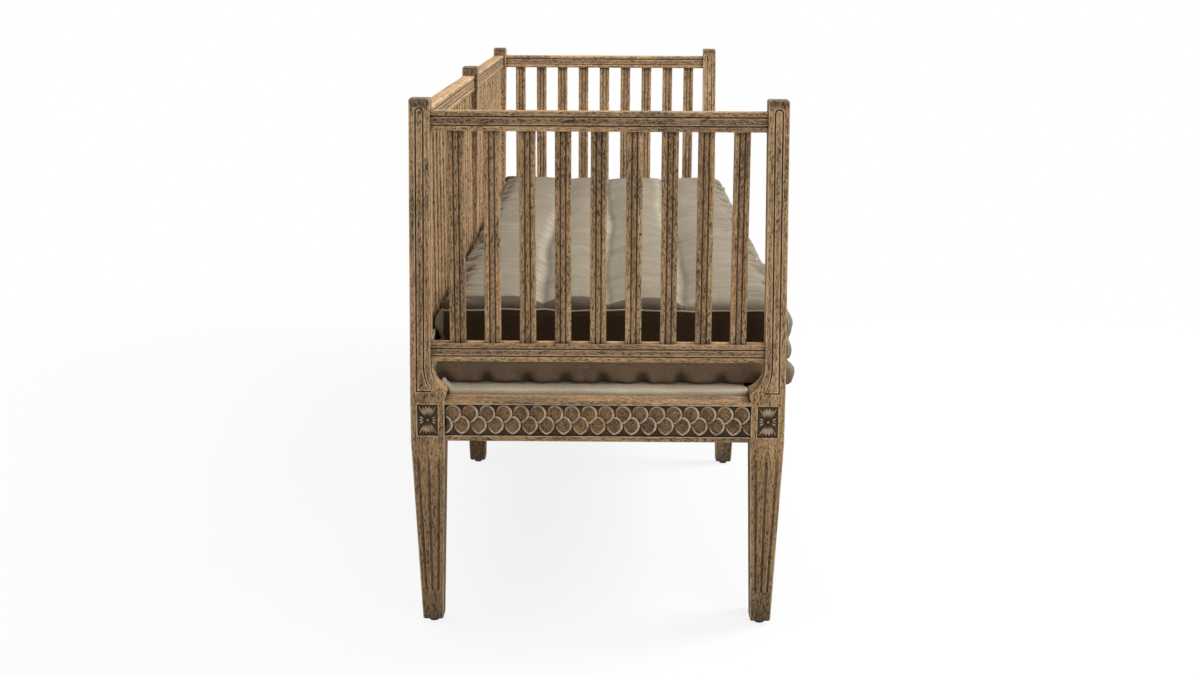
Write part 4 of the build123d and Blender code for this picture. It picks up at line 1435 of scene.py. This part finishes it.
    def seams(self, places: np.ndarray, normals: np.ndarray) -> np.ndarray:
        """How firmly each vertex is held by a seam, by the tied valleys on top, or by the deck below."""
        reach = self.voxel * self.seam_hold
        sideways = np.hypot(normals[:, 0], normals[:, 1]) > self.looks_out
        held = np.zeros(len(places))
        for height in (self.piping_height, *self.roll_seams):
            held = np.maximum(held, sideways * (np.abs(places[:, 2] - height) < reach))
        tied = (np.abs(self.from_valley(places)) < reach) * (1 - self.far_flat[1] * self.to_far_end(places))
        held = np.maximum(held, (normals[:, 2] > self.looks_up) * tied * self.tie)
        held[normals[:, 2] < -self.looks_down] = 1.0
        return held.astype(float)

    def build(self) -> None:
        """Model the mattress and let it stand for its node."""
        body = self.blank()
        held = self.seams(corners(body), outward(body))
        self.filling.fill(body, held)
        finished(body, "SMOOTH", factor=0.5, iterations=2)
        finished(body, "SUBSURF", levels=1, render_levels=1)
        self.tooled(body)
        smoothed(body, SOFT_ANGLE)
        rides(body, BENCH, self.finishes.linen)
        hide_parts("mattress")
        self.pipe(body)

    def tooled(self, body: bpy.types.Object) -> None:
        """Work the rolls, seams, puckers and stitches into the filled mattress."""
        low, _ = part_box("mattress")
        skin = Skin(body)
        folds, pulled = self.creases(skin), self.stitches(skin)
        # painted shade on the ends and in stitches, tied valleys and folds, and painted highlight behind each
        # valley
        marked(body, "end", self.end_shade(skin))
        marked(body, "tuck", self.tucks(skin, folds, pulled))
        marked(body, "ridge", self.ridges(skin))
        push = self.rolls(skin) - self.grooves(skin) + folds - pulled
        start, stretch = self.underside
        push *= held_in((skin.normals[:, 2] - start) / stretch)
        places = skin.places + skin.normals * push[:, None]
        above = places[:, 2] - low.z
        places[:, 2] = low.z + np.maximum(above * np.clip(above / self.settled, self.pressed, 1), 0)
        moved(body, places)

    def rolls(self, skin: Skin) -> np.ndarray:
        """How far the sides bulge out in rolls, with the top set back over them."""
        low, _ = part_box("mattress")
        push = np.zeros(len(skin.places))
        crinkle = self.crinkle.along(skin.places, skin.along)
        crinkle *= self.crinkled.share(skin.places)
        seams = (low.z, *self.roll_seams, self.piping_height)
        for start, end, height in zip(seams, seams[1:], self.roll_crinkle):
            share = held_in((skin.height - start) / (end - start))
            push += skin.long_side * 4 * share * (1 - share) * (self.roll_bulge + height * crinkle)
        share = held_in((skin.height - low.z) / (self.roll_seams[0] - low.z))
        full = (4 * share * (1 - share)) ** self.end_fullness
        push += skin.end_side * full * (self.end_bulge + self.pucker.along(skin.places, skin.across))
        above = skin.height - self.piping_height
        push += self.side_room * skin.long_side * (above < 0)
        push -= self.top_inset * skin.long_side * held_in(above / self.inset_slope + 1)
        return push + self.square * np.abs(2 * skin.normals[:, 0] * skin.normals[:, 1])

    def grooves(self, skin: Skin) -> np.ndarray:
        """How deep the seams of the sides and the valleys of the top are pulled in."""
        depth = skin.end_side * self.end_groove.beside(skin.height - self.roll_seams[0])
        for seam in self.roll_seams:
            depth += skin.long_side * self.roll_groove.beside(skin.height - seam)
        sides = np.maximum(skin.long_side, skin.end_side)
        depth += sides * self.piping_groove.beside(skin.height - self.piping_height)
        valley = skin.upper * self.valley_groove.beside(self.from_valley(skin.places))
        return depth + valley * (1 - self.far_flat[2] * self.to_far_end(skin.places))

    def creases(self, skin: Skin) -> np.ndarray:
        """The gathers along the long edges and the soft creases across the channels."""
        places, along, upper, from_side = skin.places, skin.along, skin.upper, skin.from_side
        from_valley = self.from_valley(places)
        gather = self.gather.along(places, along) * near(from_side, *self.gather_strip)
        gather *= self.gather_below + (1 - self.gather_below) * upper
        fan = self.fan.along(places, along) * near(from_side, *self.fan_strip) * upper
        push = (gather + fan) * self.gathered.share(places)
        ruffle = self.ruffle_height * self.ruffle.along(places, along)
        push += ruffle * upper * near(from_valley, *self.ruffle_strip)
        over = held_in((skin.height - self.piping_height) / self.scallop_rise)
        push += self.scallop.along(places, along) * over * near(from_side, *self.scallop_strip)
        push += self.crease.along(places, along) * upper * self.creased.share(places)
        push += self.sag.along(places, along) * upper * near(from_valley, *self.sag_strip)
        swell = self.swell * ripple(places, *self.swell_ripple)
        return push + swell * (self.swell_below + (1 - self.swell_below) * upper)

    def stitches(self, skin: Skin) -> np.ndarray:
        """How deep the hand stitches pull into the rolls, and the tufts into the top's long edges."""
        above = skin.height - self.stitch_height
        depth = skin.end_side * self.stitch.along(skin.across + self.stitch_start, above)
        depth += skin.long_side * self.stitch.along(skin.along + self.stitch_start, above)
        for seam in self.roll_seams:
            depth += skin.long_side * self.seam_stitch.along(skin.along, skin.height - seam)
        tufts = self.tuft.along(skin.along, skin.from_side - self.tuft_line)
        return depth + tufts * (skin.height > self.piping_height)

    def end_shade(self, skin: Skin) -> np.ndarray:
        """Share of painted end shade: the end faces, and above the piping the top roll's edge that turns over
        the top.
        """
        low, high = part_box("mattress")
        from_end = high.x - np.abs(skin.along)
        notch, notch_reach = self.notch
        reach = self.over_the_top * (1 - notch * near(self.from_valley(skin.places), 0, notch_reach))
        blur_across, blur_along = self.end_shade_blur
        over = held_in((reach - from_end) / blur_across + 0.5)
        last = high.y - self.valleys[-1] * (high.y - low.y)
        over *= held_in((skin.across - last) / blur_along)
        start, blur = self.end_facing
        end = held_in((np.abs(skin.normals[:, 0]) - start) / blur) * (from_end < self.corner * 3)
        return np.where(skin.height > self.piping_height, over, end)

    def tucks(self, skin: Skin, folds: np.ndarray, pulled: np.ndarray) -> np.ndarray:
        """Share of shade in the cloth: in stitches, in the tied valleys and in the hollows of the folds."""
        full, most = self.stitch_shade
        stitched = np.clip(pulled / full, 0, most)
        tied = self.tied_mark * skin.upper * near(self.from_valley(skin.places), *self.tied_strip)
        full, base, edge = self.fold_shade
        folded = held_in(-folds / full) * (base + edge * near(skin.from_side, *self.fold_strip))
        return np.maximum.reduce([stitched, tied, folded])

    def ridges(self, skin: Skin) -> np.ndarray:
        """Share of painted highlight along the ruffled ridge behind each valley."""
        base, swing = self.ridge_ruffle
        ruffle = base + swing * self.ruffle.along(skin.places, skin.along)
        ridge = near(self.from_valley(skin.places), *self.ridge_strip)
        return self.ridge_mark * self.painted_ridge_light.share(skin.places) * ruffle * skin.upper * ridge

    def pipe(self, body: bpy.types.Object) -> None:
        """Sew the piping round the mattress under its top rolls, and down its corners."""
        low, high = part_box("mattress")
        bpy.context.view_layer.update()

        def sewn(place: Sequence[float], way: Sequence[float], height: float) -> Vector:
            """The point of the mattress's side that a place outside it looks at along a way, at a height."""
            inward = -Vector((*way, 0)).normalized()
            start = Vector((*place, height)) - inward * self.corner * 3
            hit, spot, _, _ = body.ray_cast(start, inward)
            return spot if hit else start

        lines = []
        ring = []
        for quarter, (way_x, way_y) in enumerate(((1, 1), (-1, 1), (-1, -1), (1, -1))):
            x, y = (high.x if way_x > 0 else low.x), (high.y if way_y > 0 else low.y)
            x, y = x - way_x * self.corner, y - way_y * self.corner
            for turn in np.radians(np.linspace(0, 90, 7) + 90 * quarter):
                ring.append(((x, y), (math.cos(turn), math.sin(turn))))
            if way_y < 0:
                heights = np.linspace(self.piping_height, self.roll_seams[0], 14)
                lines.append(([sewn((x, y), (way_x, way_y), height) for height in heights], False))
        around = []
        for (start, way), (end, _) in zip(ring, ring[1:] + ring[:1]):
            count = max(1, round(math.dist(start, end) / self.piping_step))
            for step in range(count):
                place = np.array(start) + (np.array(end) - np.array(start)) * step / count
                drift = sum(height * math.sin(place.sum() * rate) for height, rate in self.piping_drift)
                around.append(sewn(place, way, self.piping_height + drift))
        lines.append((around, True))
        curve = bpy.data.curves.new("mattress_piping", "CURVE")
        curve.dimensions = "3D"
        for points, closed in lines:
            spline = curve.splines.new("POLY")
            spline.points.add(len(points) - 1)
            for point, spot in zip(spline.points, points):
                point.co = (*spot, 1.0)
            spline.use_cyclic_u = closed
        curve.bevel_depth = self.piping_thick / 2
        curve.bevel_resolution = 2
        curve.use_fill_caps = True
        piping = bpy.data.objects.new("mattress_piping", curve)
        bpy.context.scene.collection.objects.link(piping)
        pick(piping)
        bpy.ops.object.convert(target="MESH")
        piping = named("mattress_piping")
        smoothed(piping, SOFT_ANGLE)
        rides(piping, BENCH, self.finishes.piping)


# ---------------------------------------------------------------- studio
@dataclass(frozen=True)
class Studio:
    """A pale floor, soft light and the camera."""

    lens_pixels: float = 1678.2
    frame_pixels: float = 1200.0
    sensor: float = 36.0
    stand: Point = (-3.7842, -0.0203, 1.1071)
    yaw: float = math.radians(0.35)
    pitch: float = math.radians(12.086)
    roll: float = math.radians(-0.296)
    sight: float = 200.0
    floor_radius: float = 9.0
    floor_dull: Colour = (0.38, 0.37, 0.36)  # what the floor throws back at the bench
    floor_pale: Colour = (0.88, 0.88, 0.88)
    floor_fade: Span = (0.7, 2.6, 0.84, 1.0)  # the floor turns white with the distance from the bench
    sky: Colour = (1.0, 0.985, 0.96)
    sky_strength: float = 0.34

    def camera(self) -> None:
        """Stand the camera at the near end of the bench."""
        data = bpy.data.cameras.new("camera")
        data.sensor_width = self.sensor
        data.lens = self.lens_pixels / self.frame_pixels * self.sensor
        data.clip_end = self.sight
        ahead = Vector((
            math.cos(self.pitch) * math.cos(self.yaw), math.cos(self.pitch) * math.sin(self.yaw),
            -math.sin(self.pitch),
        ))
        right = Vector((math.sin(self.yaw), -math.cos(self.yaw), 0.0))
        down = ahead.cross(right)
        across = right * math.cos(self.roll) + down * math.sin(self.roll)
        upright = right * math.sin(self.roll) - down * math.cos(self.roll)
        turn = Matrix((across, upright, -ahead)).transposed().to_4x4()
        camera = bpy.data.objects.new("camera", data)
        camera.matrix_world = Matrix.Translation(Vector(self.stand)) @ turn
        bpy.context.scene.collection.objects.link(camera)
        bpy.context.scene.camera = camera

    def lamp(self, name: str, place: Point, aim: Point, size: float, power: float) -> None:
        """Hang a soft square lamp.

        Args:
            name: the lamp's name.
            place: where it hangs.
            aim: the point that it looks at.
            size: the length of its side, in metres.
            power: its power in watts.
        """
        data = bpy.data.lights.new(name, "AREA")
        data.shape = "SQUARE"
        data.size = size
        data.energy = power
        lamp = bpy.data.objects.new(name, data)
        lamp.location = place
        way = Vector(aim) - Vector(place)
        lamp.rotation_euler = way.to_track_quat("-Z", "Y").to_euler()
        bpy.context.scene.collection.objects.link(lamp)

    def floor(self) -> None:
        """Lay a pale round floor that shows only the bench's shadow."""
        bpy.ops.object.select_all(action="DESELECT")
        bpy.ops.mesh.primitive_circle_add(
            vertices=96, radius=self.floor_radius, fill_type="NGON", location=(0, 0, 0)
        )
        floor = named("studio_floor")
        material = bpy.data.materials.new("studio_floor")
        material.use_nodes = True
        nodes = Nodes(material.node_tree)
        nodes.tree.nodes.clear()
        dull = nodes.add("BsdfDiffuse", Color=self.floor_dull).outputs[0]
        pale = nodes.add("BsdfDiffuse", Color=self.floor_pale).outputs[0]
        white = nodes.add("Emission", Color=WHITE).outputs[0]
        away = nodes.add("VectorMath", {"operation": "LENGTH"}, Vector=nodes.place()).outputs["Value"]
        shown = nodes.layered(nodes.span(away, *self.floor_fade), pale, white)
        nodes.add("OutputMaterial", Surface=nodes.layered(self.watched(nodes), dull, shown))
        floor.data.materials.append(material)

    def watched(self, nodes: Nodes) -> object:
        """A socket that is 1 on rays that show the background, and 0 on the rest."""
        path = nodes.add("LightPath")
        total = path.outputs["Is Camera Ray"]
        for way in ("Is Glossy Ray", "Is Transmission Ray"):
            total = nodes.sums("MAXIMUM", total, path.outputs[way])
        return total

    def surround(self) -> None:
        """Light the bench from all round, with a white background behind it."""
        world = bpy.data.worlds.new("studio")
        bpy.context.scene.world = world
        world.use_nodes = True
        nodes = Nodes(world.node_tree)
        nodes.tree.nodes.clear()
        light = nodes.add("Background", Color=self.sky, Strength=self.sky_strength).outputs[0]
        white = nodes.add("Background", Color=WHITE, Strength=1.0).outputs[0]
        nodes.add("OutputWorld", Surface=nodes.layered(self.watched(nodes), light, white))

    def build(self) -> None:
        """Set up the camera, the floor and the light."""
        bpy.context.scene.view_settings.view_transform = "Standard"
        self.camera()
        self.floor()
        self.surround()
        self.lamp("window", (0.2, -2.5, 2.7), (-0.2, 0.0, 0.5), size=1.4, power=114.0)
        self.lamp("overhead", (-0.4, 0.6, 3.2), (-0.2, 0.0, 0.5), size=2.4, power=56.0)
        self.lamp("near_fill", (-3.8, -1.4, 1.6), (-1.0, 0.0, 0.6), size=1.8, power=39.0)


def main() -> None:
    """Build the whole bench in order."""
    logging.basicConfig(level=logging.INFO, format="%(name)s: %(message)s")
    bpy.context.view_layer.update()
    Studio().build()
    finishes = Finishes()
    Joinery(finishes).dress()
    Slats(finishes).build()
    ScaleFrieze(finishes).build()
    Pateras(finishes).build()
    DeckPad(finishes).build()
    Mattress(finishes).build()


if __name__ == "__main__":
    main()
